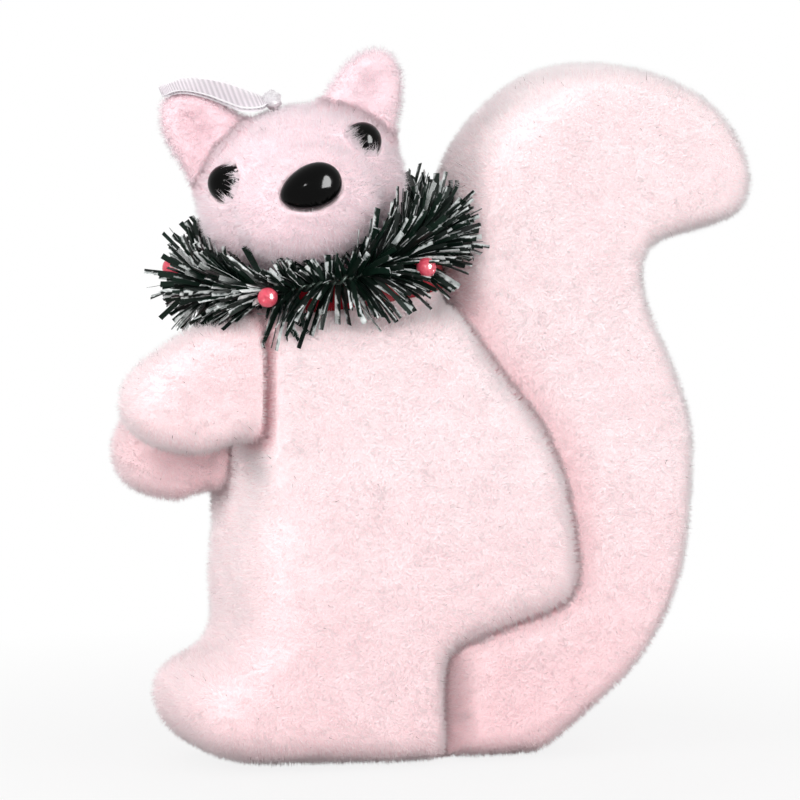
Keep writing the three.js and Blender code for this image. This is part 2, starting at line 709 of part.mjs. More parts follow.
function garlandPart(part) {
  const span = (2 * Math.PI) / GARLAND_PARTS;
  const trim = GAP / 2 / GARLAND_RX;
  const first = -Math.PI / 2 - span / 2 + part * span + trim;
  const frames = Array.from({ length: STEPS_PER_PART + 1 },
    (_, i) => ringFrame(first + (i / STEPS_PER_PART) * (span - 2 * trim)));
  const turn = (j) => ((j + 0.5) / CORE_SIDES) * 2 * Math.PI;
  const positions = [];
  const index = [];
  const add = (v) => positions.push(v.x, v.y, v.z) / 3 - 1;
  for (const frame of frames) {
    for (let j = 0; j < CORE_SIDES; j++) {
      add(frame.at.clone().addScaledVector(fromCore(frame, turn(j)), CORE_R));
    }
  }
  const corner = (i, j) => i * CORE_SIDES + (j % CORE_SIDES);
  const quad = (a, b, c, d) => index.push(a, b, c, a, c, d);
  const middleFrame = (i) => ({
    at: frames[i].at.clone().lerp(frames[i + 1].at, 0.5),
    along: frames[i].along.clone().lerp(frames[i + 1].along, 0.5).normalize(),
    out: frames[i].out.clone().lerp(frames[i + 1].out, 0.5).normalize(),
    up: frames[i].up,
    side: (frames[i].side + frames[i + 1].side) / 2,
  });
  for (let i = 0; i < STEPS_PER_PART; i++) {
    const frame = middleFrame(i);
    for (let j = 0; j < CORE_SIDES; j++) {
      const cell = [corner(i, j), corner(i + 1, j), corner(i + 1, j + 1), corner(i, j + 1)];
      const radial = fromCore(frame, turn(j + 0.5));
      const seed = (part * STEPS_PER_PART + i) * CORE_SIDES + j;
      const lean = (NEEDLE_LEAN * frame.side + NEEDLE_LOOSE * scatter(seed)) * RAD;
      const way = radial.clone().multiplyScalar(Math.cos(lean)).addScaledVector(frame.along, Math.sin(lean));
      const from = frame.at.clone().addScaledVector(radial, CORE_R);
      const long = (i + j) % 2 ? 0 : reach(from, way, NEEDLE_SPACE / 2);
      if (long < NEEDLE_LEAST) {
        quad(...cell);
        continue;
      }
      const across = new THREE.Vector3().crossVectors(frame.along, radial).normalize();
      const flat = new THREE.Vector3().crossVectors(way, across).normalize();
      const end = from.clone().addScaledVector(way, long);
      const tip = [[-1, 1], [1, 1], [1, -1], [-1, -1]].map(([a, b]) => add(end.clone()
        .addScaledVector(flat, a * NEEDLE_THIN / 2).addScaledVector(across, b * NEEDLE_WIDE / 2)));
      for (let k = 0; k < 4; k++) {
        quad(cell[k], cell[(k + 1) % 4], tip[(k + 1) % 4], tip[k]);
      }
      quad(...tip);
    }
  }
  const caps = [[0, 0], [STEPS_PER_PART, 1]];
  for (const [i, last] of caps) {
    for (let j = 1; j < CORE_SIDES - 1; j++) {
      const [a, b, c] = [corner(i, 0), corner(i, j), corner(i, j + 1)];
      index.push(...(last ? [a, c, b] : [a, b, c]));
    }
  }
  const geometry = new THREE.BufferGeometry();
  geometry.setAttribute('position', new THREE.Float32BufferAttribute(positions, 3));
  geometry.setIndex(index);
  geometry.computeVertexNormals();
  return geometry;
}
for (let part = 0; part < GARLAND_PARTS; part++) {
  root.add(named(`garland_${part + 1}`, garlandPart(part), needle));
}

// The origin is under the middle of the whole figure, on the surface that it stands on
root.updateMatrixWorld(true);
const whole = new THREE.Box3().setFromObject(root, true);
root.position.set(-(whole.min.x + whole.max.x) / 2, -(whole.min.y + whole.max.y) / 2, -whole.min.z);

export default root;
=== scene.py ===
# %% [markdown]
# # A flocked foam squirrel ornament
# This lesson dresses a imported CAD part. The real ornament is hand-cut foam with a coat of short
# pink flock, bead eyes and nose, a frosted needle garland with berries, and a sheer ribbon loop.
# The frame comes first: every CAD node arrives at its true place, in metres.

# %% The frame
import math
import bpy
import numpy as np
from mathutils import Matrix, Vector
from mathutils.bvhtree import BVHTree


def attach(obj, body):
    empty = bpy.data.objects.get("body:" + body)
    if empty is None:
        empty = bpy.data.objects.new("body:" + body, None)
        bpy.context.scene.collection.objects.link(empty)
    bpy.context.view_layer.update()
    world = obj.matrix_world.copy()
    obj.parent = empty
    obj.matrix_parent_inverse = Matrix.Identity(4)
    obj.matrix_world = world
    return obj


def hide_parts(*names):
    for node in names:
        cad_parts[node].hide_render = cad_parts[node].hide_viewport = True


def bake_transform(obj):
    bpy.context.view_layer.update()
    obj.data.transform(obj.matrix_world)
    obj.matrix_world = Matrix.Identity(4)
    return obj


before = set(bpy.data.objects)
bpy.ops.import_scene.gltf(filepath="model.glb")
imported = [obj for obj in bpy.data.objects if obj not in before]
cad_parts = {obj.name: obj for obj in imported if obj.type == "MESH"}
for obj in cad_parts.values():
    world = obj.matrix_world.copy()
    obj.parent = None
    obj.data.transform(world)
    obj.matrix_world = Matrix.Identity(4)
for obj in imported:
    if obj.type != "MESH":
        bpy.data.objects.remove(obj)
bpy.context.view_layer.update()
MM = 0.001
print("nodes loaded:", len(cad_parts))


# %% Every new object goes through this helper
def placed(name, data):
    piece = bpy.data.objects.new(name, data)
    bpy.context.scene.collection.objects.link(piece)
    return piece


# %% [markdown]
# ## The camera
# The photograph looks at the near side from a little in front and a little above. A long lens at
# one metre keeps the slab faces almost parallel, as they are in the photograph.

# %% The camera
VIEW_TURN = math.radians(-20)
VIEW_RISE = math.radians(5)
VIEW_DISTANCE = 1.0
LOOK_AT = Vector((-5.5, -0.1, 71.2)) * MM
FOCAL_MM = 225
SENSOR_MM = 36

sight = Vector((
    math.sin(VIEW_TURN) * math.cos(VIEW_RISE),
    -math.cos(VIEW_TURN) * math.cos(VIEW_RISE),
    math.sin(VIEW_RISE),
))
lens = bpy.data.cameras.new("camera")
lens.lens = FOCAL_MM
lens.sensor_width = SENSOR_MM
lens.clip_start = 0.05
camera = placed("camera", lens)
camera.location = LOOK_AT + sight * VIEW_DISTANCE
camera.rotation_euler = sight.to_track_quat("Z", "Y").to_euler()
bpy.context.scene.camera = camera
print("camera at", [round(v, 3) for v in camera.location])

# %% [markdown]
# ## Small helpers
# Operators act on whatever is selected, and fresh CAD nodes are all selected. These helpers
# clear the selection, apply modifiers in order, and make a merged copy of a CAD node to work on.

# %% Helpers for selection and modifiers
bpy.ops.object.select_all(action="DESELECT")


def pick(piece):
    bpy.ops.object.select_all(action="DESELECT")
    piece.select_set(True)
    bpy.context.view_layer.objects.active = piece


def add_modifier(piece, kind, **settings):
    modifier = piece.modifiers.new(kind.lower(), kind)
    for name, value in settings.items():
        setattr(modifier, name, value)
    return modifier


def apply_modifiers(piece):
    pick(piece)
    for modifier in list(piece.modifiers):
        bpy.ops.object.modifier_apply(modifier=modifier.name)


def triangle_count(piece):
    piece.data.calc_loop_triangles()
    return len(piece.data.loop_triangles)


# %% A merged copy of a CAD node
MERGE_WITHIN = 1e-6


def copy_of_node(node, name):
    piece = placed(name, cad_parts[node].data.copy())
    piece.data.name = name
    piece.data.materials.clear()
    pick(piece)
    bpy.ops.object.mode_set(mode="EDIT")
    bpy.ops.mesh.select_all(action="SELECT")
    bpy.ops.mesh.remove_doubles(threshold=MERGE_WITHIN)
    bpy.ops.mesh.customdata_custom_splitnormals_clear()
    bpy.ops.object.mode_set(mode="OBJECT")
    return piece


# %% A mesh from arrays
def mesh_piece(name, places, faces, smooth=True):
    mesh = bpy.data.meshes.new(name)
    mesh.from_pydata([tuple(p) for p in places], [], [tuple(f) for f in faces])
    if smooth:
        mesh.shade_smooth()
    return placed(name, mesh)


# %% [markdown]
# ## Fine detail that several finishes share
# Flock, beads, satin, film and steel all vary a little from place to place. One node group gives
# a mottled value made of two noises, a broad and a fine one, and each finish sets their scales.

# %% The mottle group
def mottle_group():
    group = bpy.data.node_groups.new("mottle", "ShaderNodeTree")
    face = group.interface
    for label in ("Broad Scale", "Fine Scale", "Fine Share"):
        face.new_socket(name=label, in_out="INPUT", socket_type="NodeSocketFloat")
    face.new_socket(name="Value", in_out="OUTPUT", socket_type="NodeSocketFloat")
    nodes, links = group.nodes, group.links
    inside = nodes.new("NodeGroupInput")
    outside = nodes.new("NodeGroupOutput")
    where = nodes.new("ShaderNodeTexCoord")
    broad = nodes.new("ShaderNodeTexNoise")
    fine = nodes.new("ShaderNodeTexNoise")
    blend = nodes.new("ShaderNodeMix")
    for noise, label in ((broad, "Broad Scale"), (fine, "Fine Scale")):
        links.new(where.outputs["Object"], noise.inputs["Vector"])
        links.new(inside.outputs[label], noise.inputs["Scale"])
        noise.inputs["Detail"].default_value = 3.0
    links.new(inside.outputs["Fine Share"], blend.inputs["Factor"])
    links.new(broad.outputs["Fac"], blend.inputs["A"])
    links.new(fine.outputs["Fac"], blend.inputs["B"])
    links.new(blend.outputs["Result"], outside.inputs["Value"])
    return group


MOTTLE = mottle_group()
print("shared group:", MOTTLE.name)


# %% Helpers for materials
def srgb(red, green, blue):
    def line(c):
        c = c / 255
        return c / 12.92 if c <= 0.04045 else ((c + 0.055) / 1.055) ** 2.4
    return (line(red), line(green), line(blue), 1.0)


def grey(level):
    return (level, level, level, 1.0)


def set_inputs(node, **values):
    for label, value in values.items():
        node.inputs[label.replace("_", " ")].default_value = value


def feed(tree, value, socket):
    if isinstance(value, bpy.types.NodeSocket):
        tree.links.new(value, socket)
    else:
        socket.default_value = value


def new_material(name, **constants):
    material = bpy.data.materials.new(name)
    material.use_nodes = True
    shader = material.node_tree.nodes["Principled BSDF"]
    set_inputs(shader, **constants)
    return material, material.node_tree, shader


def mottle(tree, broad, fine, share):
    node = tree.nodes.new("ShaderNodeGroup")
    node.node_tree = MOTTLE
    for socket, value in zip(node.inputs, (broad, fine, share)):
        socket.default_value = value
    return node.outputs["Value"]


def ramp(tree, value, stops):
    node = tree.nodes.new("ShaderNodeValToRGB")
    marks = node.color_ramp.elements
    while len(marks) < len(stops):
        marks.new(0.5)
    for mark, (place, colour) in zip(marks, stops):
        mark.position = place
        mark.color = colour
    tree.links.new(value, node.inputs["Fac"])
    return node.outputs["Color"]


def two_tones(tree, shader, value, low, high, label="Base Color"):
    tree.links.new(ramp(tree, value, [low, high]), shader.inputs[label])


def math_of(tree, operation, *values):
    node = tree.nodes.new("ShaderNodeMath")
    node.operation = operation
    for value, socket in zip(values, node.inputs):
        feed(tree, value, socket)
    return node.outputs[0]


def object_place(tree):
    return tree.nodes.new("ShaderNodeTexCoord").outputs["Object"]


def lines(tree, scale, distortion):
    node = tree.nodes.new("ShaderNodeTexWave")
    set_inputs(node, Scale=scale, Distortion=distortion)
    tree.links.new(object_place(tree), node.inputs["Vector"])
    return node


def bump(tree, shader, height, strength, distance):
    node = tree.nodes.new("ShaderNodeBump")
    set_inputs(node, Strength=strength, Distance=distance)
    tree.links.new(height, node.inputs["Height"])
    tree.links.new(node.outputs["Normal"], shader.inputs["Normal"])


def attribute(tree, name):
    node = tree.nodes.new("ShaderNodeAttribute")
    node.attribute_name = name
    return node.outputs["Fac"]


def mixed(tree, factor, first, second, kind="MIX"):
    node = tree.nodes.new("ShaderNodeMix")
    node.data_type = "RGBA"
    node.blend_type = kind
    for label, value in (("Factor", factor), ("A", first), ("B", second)):
        feed(tree, value, [s for s in node.inputs if s.name == label and s.enabled][0])
    return [s for s in node.outputs if s.enabled][0]


# %% [markdown]
# ## The flock finish
# Flock is a dense coat of short dyed fibres. Two finishes share its colours: the glue-and-fibre
# ground, which is deeper and warmer because light bounces about between the fibres, and the
# fibres themselves, each with painted shade at its root deep in the pile and paler at its tip. A
# few stray fibres are dark.

# %% Painted shade: deeper pink in hollows and low down; a cooler colour on the head
# The meshes carry two values: the share of painted shade at each place, and how cool its colour is
PAINTED_SHADE_PINK = srgb(244, 192, 199)
HEAD_COOL = srgb(249, 244, 248)


def shaded(tree, colour):
    cooled = mixed(tree, attribute(tree, "cool"), colour,
                   mixed(tree, 1.0, colour, HEAD_COOL, "MULTIPLY"))
    return mixed(tree, attribute(tree, "hollow"), cooled,
                 mixed(tree, 1.0, cooled, PAINTED_SHADE_PINK, "MULTIPLY"))


# %% The ground under the fibres
GROUND_DEEP = srgb(248, 220, 223)
GROUND_PALE = srgb(253, 236, 238)

flock_ground, tree, shader = new_material(
    "flock_ground", Roughness=0.95, Sheen_Weight=0.25, Sheen_Roughness=0.5,
    Specular_IOR_Level=0.08)
patches = mottle(tree, 90.0, 1600.0, 0.6)
ground = ramp(tree, patches, [(0.3, GROUND_DEEP), (0.7, GROUND_PALE)])
tree.links.new(shaded(tree, ground), shader.inputs["Base Color"])
bump(tree, shader, mottle(tree, 700.0, 2600.0, 0.5), 0.6, 0.0006)
print("made", flock_ground.name)

# %% The fibres
# The deeper colour at the root is painted shade deep in the pile
FIBRE_ROOT_SHADE = srgb(254, 240, 242)
FIBRE_TIP = srgb(255, 251, 251)
FIBRE_COOL = srgb(250, 238, 242)
FIBRE_DARK = srgb(110, 72, 72)

flock_fibre, tree, shader = new_material(
    "flock_fibre", Roughness=0.9, Sheen_Weight=0.05, Specular_IOR_Level=0.05)
shade_along_fibre = ramp(tree, attribute(tree, "tipward"), [(0.0, FIBRE_ROOT_SHADE), (1.0, FIBRE_TIP)])
cool_share = ramp(tree, attribute(tree, "tone"), [(0.55, grey(0)), (1.0, grey(0.7))])
fibre_colour = shaded(tree, mixed(tree, cool_share, shade_along_fibre, FIBRE_COOL))
tree.links.new(mixed(tree, attribute(tree, "stray"), fibre_colour, FIBRE_DARK),
               shader.inputs["Base Color"])
print("made", flock_fibre.name)

# %% [markdown]
# ## Foam bodies
# Each foam piece was sawn from a sheet and its edges rounded by hand. A voxel remesh turns the
# faceted CAD copy into an even skin, a smooth takes the creases out, and a slow clouds texture
# leaves it a little uneven. The skin shrinks by the depth of the coat that covers it. All of that
# fades out beside a glued neighbour, so that the glue lines stay as narrow as they were cut.

# %% The foam bodies, with their rounds of smoothing
ROUNDING = {"torso": 90, "tail": 60, "near_arm": 40, "far_arm": 40, "head": 14,
            "left_ear": 8, "right_ear": 18}


# %% How free each place is
def tree_of(pieces):
    places, faces = [], []
    for piece in pieces:
        start = len(places)
        places += [v.co.copy() for v in piece.data.vertices]
        faces += [tuple(start + i for i in p.vertices) for p in piece.data.polygons]
    return BVHTree.FromPolygons(places, faces)


def cad_tree(names):
    return tree_of([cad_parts[name] for name in names])


def neighbours_of(own):
    loose = ("garland", "berry", "ribbon", "loop")
    return [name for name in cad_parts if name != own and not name.startswith(loose)]


# Beside an arm the cut edge stays square for longer than beside the other pieces
HELD_WITHIN = 0.4 * MM
FREE_PAST = 3 * MM
FREE_PAST_ARM = 7 * MM
ARM_FREE_PAST = 4 * MM


def mark_free(skin, own):
    group = skin.vertex_groups.new(name="free")
    arms = [name for name in neighbours_of(own) if "arm" in name or "arm" in own]
    others = [name for name in neighbours_of(own) if name not in arms]
    square = ARM_FREE_PAST if "arm" in own else FREE_PAST_ARM
    lots = ((arms, square), (others, FREE_PAST))
    trees = [(cad_tree(names), clear) for names, clear in lots if names]
    for vertex in skin.data.vertices:
        weight = 1.0
        for tree, clear in trees:
            far = tree.find_nearest(vertex.co)[3]
            share = min(max((far - HELD_WITHIN) / (clear - HELD_WITHIN), 0), 1)
            eased = share ** 3 if clear == square else share * share * (3 - 2 * share)
            weight = min(weight, eased)
        group.add([vertex.index], weight, "REPLACE")


# %% [markdown]
# ## Seams
# The foam was pressed in along its seams and round the carved line at the near arm, so the skin
# sinks there. The shade in such a hollow, pinker where light bounces about, is painted into the
# flock's colour, and so is the shade low down on the tail and the torso and round the sole.

# %% The valleys along the seams
# Each neighbour with how wide and how deep the valley beside it is
VALLEYS = {
    "torso": [("tail", 5 * MM, 0.3 * MM), ("near_arm", 2.6 * MM, 1.3 * MM)],
    "tail": [("torso", 8 * MM, 0.7 * MM)],
    "near_arm": [("torso", 2.2 * MM, 1.0 * MM)],
}


def sink_valleys(skin, own):
    for name, wide, deep in VALLEYS[own]:
        other = cad_tree([name])
        for vertex in skin.data.vertices:
            share = max(1 - other.find_nearest(vertex.co)[3] / wide, 0)
            vertex.co.y -= math.copysign(deep * share * share, vertex.co.y)


# %% Painted shade beside another foam piece, in the arm's groove, low down and round the sole
# How far the painted shade of a seam reaches on each body, and its share at the seam
SEAM_SHADES = {"tail": (2.6 * MM, 0.8), "torso": (2.4 * MM, 0.9), "near_arm": (3 * MM, 1.0),
           "far_arm": (3 * MM, 0.8)}
OTHER_SEAM_SHADE = (3.4 * MM, 0.4)
GLUE_LINE = 0.3 * MM
# Painted shade fills the carved groove at the near arm out to this distance
ARM_GROOVE = 3.2 * MM
# A broad band of painted shade on the tail beside the torso
BROAD_VALLEY = 9 * MM
BROAD_SHADE = 0.35
# Painted shade low down on the tail and the torso, where less light falls
LOW_SHADE = {"tail": 0.35, "torso": 0.2}
LOW_BELOW = 60 * MM
# Painted shade in a fringe round the sole
SOLE_FRINGE = 3 * MM
SOLE_SHADE = 0.6
# Painted shade over the whole of the arms and ears, most on the far arm under the near one and in
# the left ear's cup
BASE_SHADE = {"near_arm": 0.12, "far_arm": 0.25, "left_ear": 0.15, "right_ear": 0.05}
COOL = {"head": 1.0, "left_ear": 1.0, "right_ear": 1.0}


def foam_beside(own):
    return [name for name in ROUNDING if name != own]


def set_marks(mesh, marks):
    for label, values in marks.items():
        mesh.attributes.new(label, "FLOAT", "POINT").data.foreach_set("value", values)


# Paints shade as a value on each point: in seams, in the near arm's groove, low down and round the
# sole
def mark_hollow(skin, own):
    wide, most = SEAM_SHADES.get(own, OTHER_SEAM_SHADE)
    other = cad_tree(foam_beside(own))
    arm = cad_tree(["near_arm" if own == "torso" else "torso"])
    hollow = []
    for vertex in skin.data.vertices:
        far = other.find_nearest(vertex.co)[3]
        share = max(1 - (far - GLUE_LINE) / wide, 0)
        value = most * min(share, 1) ** 2
        if own in ("torso", "near_arm"):
            value = max(value, 1 - arm.find_nearest(vertex.co)[3] / ARM_GROOVE)
        if own == "tail":
            value = max(value, BROAD_SHADE * max(1 - far / BROAD_VALLEY, 0))
        value = max(value, LOW_SHADE.get(own, 0) * (1 - vertex.co.z / LOW_BELOW))
        value = max(value, SOLE_SHADE * (1 - vertex.co.z / SOLE_FRINGE))
        hollow.append(max(value, BASE_SHADE.get(own, 0)))
    set_marks(skin.data, {"hollow": hollow, "cool": [COOL.get(own, 0.0)] * len(hollow)})


# %% The foam skins
COAT_DEEP = 0.7 * MM
EAR_COAT_SHARE = 0.2
VOXEL = 0.8 * MM
UNEVEN_DEEP = 0.7 * MM
LAST_SMOOTHING = 4

uneven = bpy.data.textures.new("hand_cut", "CLOUDS")
uneven.noise_scale = 14 * MM
uneven.noise_depth = 1


def foam_skin(node):
    skin = copy_of_node(node, node + "_foam")
    add_modifier(skin, "REMESH", mode="VOXEL", voxel_size=VOXEL, use_smooth_shade=True)
    apply_modifiers(skin)
    mark_free(skin, node)
    add_modifier(skin, "SMOOTH", factor=0.5, iterations=ROUNDING[node], vertex_group="free")
    if node in VALLEYS:
        apply_modifiers(skin)
        sink_valleys(skin, node)
    add_modifier(skin, "SMOOTH", factor=0.5, iterations=LAST_SMOOTHING)
    deep = COAT_DEEP * (EAR_COAT_SHARE if node.endswith("_ear") else 1)
    add_modifier(skin, "DISPLACE", strength=-deep, mid_level=0, vertex_group="free")
    add_modifier(skin, "DISPLACE", texture=uneven, texture_coords="LOCAL", strength=UNEVEN_DEEP,
                 mid_level=0.5, vertex_group="free")
    apply_modifiers(skin)
    mark_hollow(skin, node)
    skin.data.materials.append(flock_ground)
    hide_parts(node)
    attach(skin, "figure")
    return skin


skins = {node: foam_skin(node) for node in ROUNDING}
for node, skin in skins.items():
    print(skin.name, triangle_count(skin), "triangles")

# %% [markdown]
# ## The head's frame
# The head has its own frame, turned to the viewer and tipped to one side. Its beads are shaped in
# that frame, the ribbon's knot stands on it, and the flock beside the eyes is combed towards them.

# %% The head and its eyes
SHIFT = Vector((-0.2154, 0.0002, 0)) * MM
HEAD_PLACE = Matrix.Translation(SHIFT + Vector((-26, 0, 112.8)) * MM)
HEAD_TURN = Matrix.Rotation(math.radians(-15), 4, "Z")
HEAD_TIP = Matrix.Rotation(math.radians(-17), 4, "Y")
HEAD_FRAME = HEAD_PLACE @ HEAD_TURN @ HEAD_TIP
HEAD_SIZE = Vector((42, 40, 35)) * MM
EYE_R = 3.75 * MM
EYE_ASIDE = 14.8 * MM
EYE_HIGH = 7.6 * MM
EYE_SUNK = 0.35
NOSE_MIDDLE = Vector((0.8, -25, 2.2)) * MM


def eye_middle(side):
    x, z = side * EYE_ASIDE, EYE_HIGH
    y = -HEAD_SIZE.y / 2 * math.sqrt(1 - (2 * x / HEAD_SIZE.x) ** 2 - (2 * z / HEAD_SIZE.z) ** 2)
    out = Vector((x / HEAD_SIZE.x ** 2, y / HEAD_SIZE.y ** 2, z / HEAD_SIZE.z ** 2)).normalized()
    return Vector((x, y, z)) - out * EYE_R * EYE_SUNK, out


print("head at", [round(v / MM, 1) for v in HEAD_FRAME.translation], "mm")

# %% [markdown]
# ## The coat of flock
# Static charge stands the fibres on end in wet glue, so they point away from the surface and
# lean a little in shared patches. Each is a cone of three faces, and they are scattered by area
# with a fixed seed. In a seam there is less room, so the fibres that face a neighbour are short,
# while those on its rim reach across it.

# %% Where a coat can grow
# The head and the ears were flocked together, so no bare line shows where they meet
FLOCKED_AS_ONE = ("head", "left_ear", "right_ear")
JOINT_WITHIN = 0.6 * MM
LOOKS_AHEAD = 3.0 * MM


def room_ahead(skin, own):
    neighbours = cad_tree(neighbours_of(own))
    skin.data.calc_loop_triangles()
    room = []
    for face in skin.data.loop_triangles:
        far = neighbours.ray_cast(Vector(face.center), Vector(face.normal), LOOKS_AHEAD)[3]
        room.append(LOOKS_AHEAD if far is None else far)
    room = np.array(room)
    if own in FLOCKED_AS_ONE:
        room[room > JOINT_WITHIN] = LOOKS_AHEAD
        room[room <= JOINT_WITHIN] = 0
    return room


# %% Scattered roots
FIBRES_PER_MM2 = 7.5
LEAST_ROOM = 0.2 * MM


def read_rows(items, label, kind, width=3):
    values = np.empty(len(items) * width, kind)
    items.foreach_get(label, values)
    return values.reshape(-1, width)


def scatter_roots(skin, room, rng):
    keep = room > LEAST_ROOM
    mesh = skin.data
    corner = read_rows(mesh.loop_triangles, "vertices", np.int32)[keep]
    place = read_rows(mesh.vertices, "co", np.float32).astype(float)
    normal = read_rows(mesh.vertex_normals, "vector", np.float32).astype(float)
    a, b, c = (place[corner[:, i]] for i in range(3))
    area = np.linalg.norm(np.cross(b - a, c - a), axis=1) / 2
    total = int(area.sum() / MM ** 2 * FIBRES_PER_MM2)
    face = rng.choice(len(area), size=total, p=area / area.sum())
    u, v = rng.random(total), rng.random(total)
    over = u + v > 1
    u[over], v[over] = 1 - u[over], 1 - v[over]
    weight = np.stack([1 - u - v, u, v], axis=1)
    root = sum(weight[:, i:i + 1] * place[corner[face, i]] for i in range(3))
    up = sum(weight[:, i:i + 1] * normal[corner[face, i]] for i in range(3))
    deep = read_rows(mesh.attributes["hollow"].data, "value", np.float32, 1)[:, 0]
    hollow = sum(weight[:, i] * deep[corner[face, i]] for i in range(3))
    return root, up / np.linalg.norm(up, axis=1, keepdims=True), room[keep][face], hollow


# %% How the fibres lean together
# Ten waves, each with its own direction, start and way of leaning
LEAN_FINE = 520
LEAN_WAVES = np.random.default_rng(5).normal(size=(10, 3)) * LEAN_FINE
LEAN_STARTS = np.random.default_rng(6).random((10, 3))[:, 0] * 2 * math.pi
LEAN_WAYS = np.random.default_rng(7).normal(size=(10, 3))


def shared_lean(root):
    lean = np.zeros_like(root)
    for wave, start, way in zip(LEAN_WAVES, LEAN_STARTS, LEAN_WAYS):
        lean += np.sin(root @ wave + start)[:, None] * way
    return lean / 3


# %% Fibres as one mesh
def fibre_mesh(name, root, way, long, wide, values):
    count = len(root)
    aside = np.cross(way, np.where(abs(way[:, 2:3]) < 0.8, [[0, 0, 1.0]], [[1.0, 0, 0]]))
    aside /= np.linalg.norm(aside, axis=1, keepdims=True)
    other = np.cross(way, aside)
    place = np.empty((count, 4, 3))
    for k in range(3):
        angle = 2 * math.pi * k / 3
        place[:, k] = root + wide[:, None] / 2 * (math.cos(angle) * aside + math.sin(angle) * other)
    place[:, 3] = root + long[:, None] * way
    first = np.arange(count)[:, None] * 4
    face = np.stack([first + [k, (k + 1) % 3, 3] for k in range(3)], axis=1).reshape(-1)
    mesh = bpy.data.meshes.new(name)
    mesh.vertices.add(count * 4)
    mesh.vertices.foreach_set("co", place.reshape(-1).astype(np.float32))
    mesh.loops.add(count * 9)
    mesh.loops.foreach_set("vertex_index", face.astype(np.int32))
    mesh.polygons.add(count * 3)
    mesh.polygons.foreach_set("loop_start", np.arange(0, count * 9, 3, dtype=np.int32))
    mesh.update(calc_edges=True)
    mesh.shade_smooth()
    marks = {"tipward": np.tile([0.0, 0, 0, 1], count)}
    marks.update({label: np.repeat(value, 4) for label, value in values.items()})
    set_marks(mesh, {label: value.astype(np.float32) for label, value in marks.items()})
    mesh.materials.append(flock_fibre)
    return placed(name, mesh)


# %% Longer fibres that fall over the eyes
# They grow on the rim of each eye that faces the nose, a dozen from each root
LASHES_PER_ROOT = 12
LASH_LONG = (2.0, 3.6)
LASH_RIM = 0.9 * MM
NOSE_SIDE = 0.3


def eye_lashes(root, up, rng):
    nose = np.array(HEAD_FRAME @ NOSE_MIDDLE)
    picked, ways = [], []
    for side in (-1, 1):
        eye = np.array(HEAD_FRAME @ eye_middle(side)[0])
        to_eye = eye - root
        far = np.linalg.norm(to_eye, axis=1)
        inner = ((root - eye) @ (nose - eye)) > NOSE_SIDE * far * np.linalg.norm(nose - eye)
        near = np.repeat(np.flatnonzero((far < EYE_R + LASH_RIM) & inner), LASHES_PER_ROOT)
        picked.append(near)
        ways.append(0.75 * up[near] + rng.uniform(0.5, 0.95, (len(near), 1))
                    * to_eye[near] / far[near, None])
    picked = np.concatenate(picked)
    return picked, np.concatenate(ways), rng.uniform(*LASH_LONG, len(picked)) * MM


# %% Fibres that cross a seam from its rim
RIM_WIDE = 1.8 * MM
RIM_SHADE = 0.1
RIM_LONG = (1.0, 2.1)
PER_RIM_ROOT = 5
PER_HEAD_ROOT = 4


def seam_fibres(node, root, up, room, hollow, rng):
    other = cad_tree(foam_beside(node))
    rim = []
    for i in np.flatnonzero((room >= LOOKS_AHEAD) & (hollow > RIM_SHADE)):
        place, _, _, far = other.find_nearest(Vector(root[i]))
        if far < RIM_WIDE:
            rim.append((i, *((np.array(place) - root[i]) / max(far, 0.1 * MM))))
    if not rim:
        return np.zeros(0, int), np.zeros((0, 3)), np.zeros(0)
    times = PER_HEAD_ROOT if node in FLOCKED_AS_ONE else PER_RIM_ROOT
    rim = np.repeat(np.array(rim), times, axis=0)
    picked = rim[:, 0].astype(int)
    ways = 0.75 * up[picked] + rng.uniform(0.2, 0.9, (len(picked), 1)) * rim[:, 1:]
    return picked, ways, rng.uniform(*RIM_LONG, len(picked)) * MM


# %% Every fibre of one foam body
FIBRE_LONG = 1.65 * MM
SHARED_LEAN = 0.16
OWN_LEAN = 0.27
EXTRA_LEAN = 0.2
EXTRA_SHIFT = 0.12


def grow_fibres(node, rng):
    ahead = room_ahead(skins[node], node)
    root, up, room, hollow = scatter_roots(skins[node], ahead, rng)
    count = len(root)
    way = up + SHARED_LEAN * shared_lean(root) + rng.normal(size=(count, 3)) * OWN_LEAN
    reach = FIBRE_LONG * rng.uniform(0.6, 1.15, count)
    extras = [seam_fibres(node, root, up, room, hollow, rng)]
    if node == "head":
        extras.append(eye_lashes(root, up, rng))
    for picked, ways, reaches in extras:
        way = np.concatenate([way, ways + rng.normal(size=(len(picked), 3)) * EXTRA_LEAN])
        reach = np.concatenate([reach, reaches])
        shift = rng.normal(size=(len(picked), 3)) * EXTRA_SHIFT * MM
        root = np.concatenate([root, root[picked] + shift])
        room = np.concatenate([room, np.full(len(picked), LOOKS_AHEAD)])
        hollow = np.concatenate([hollow, hollow[picked]])
    way /= np.linalg.norm(way, axis=1, keepdims=True)
    return root, way, reach, room, hollow


# %% Fibres cut to the room there is, in a seam and above the ground
ROOM_SHARE = 0.4
ROOM_SPARE = 0.45 * MM
OFF_GROUND = 0.05 * MM
LEAST_REACH = 0.18 * MM


def cut_fibres(root, way, reach, room, hollow):
    short = np.minimum(reach, ROOM_SHARE * room + ROOM_SPARE)
    reach = np.where(room < LOOKS_AHEAD, short, reach)
    falling = way[:, 2] < -0.01
    drop = (root[falling, 2] - OFF_GROUND) / -way[falling, 2]
    reach[falling] = np.minimum(reach[falling], drop)
    keep = reach > LEAST_REACH
    return root[keep], way[keep], reach[keep], hollow[keep]


# %% The coat of one foam body
FIBRE_WIDE = 0.12 * MM
STRAY_SHARE = 0.0016
MOST_TRIANGLES = 190000


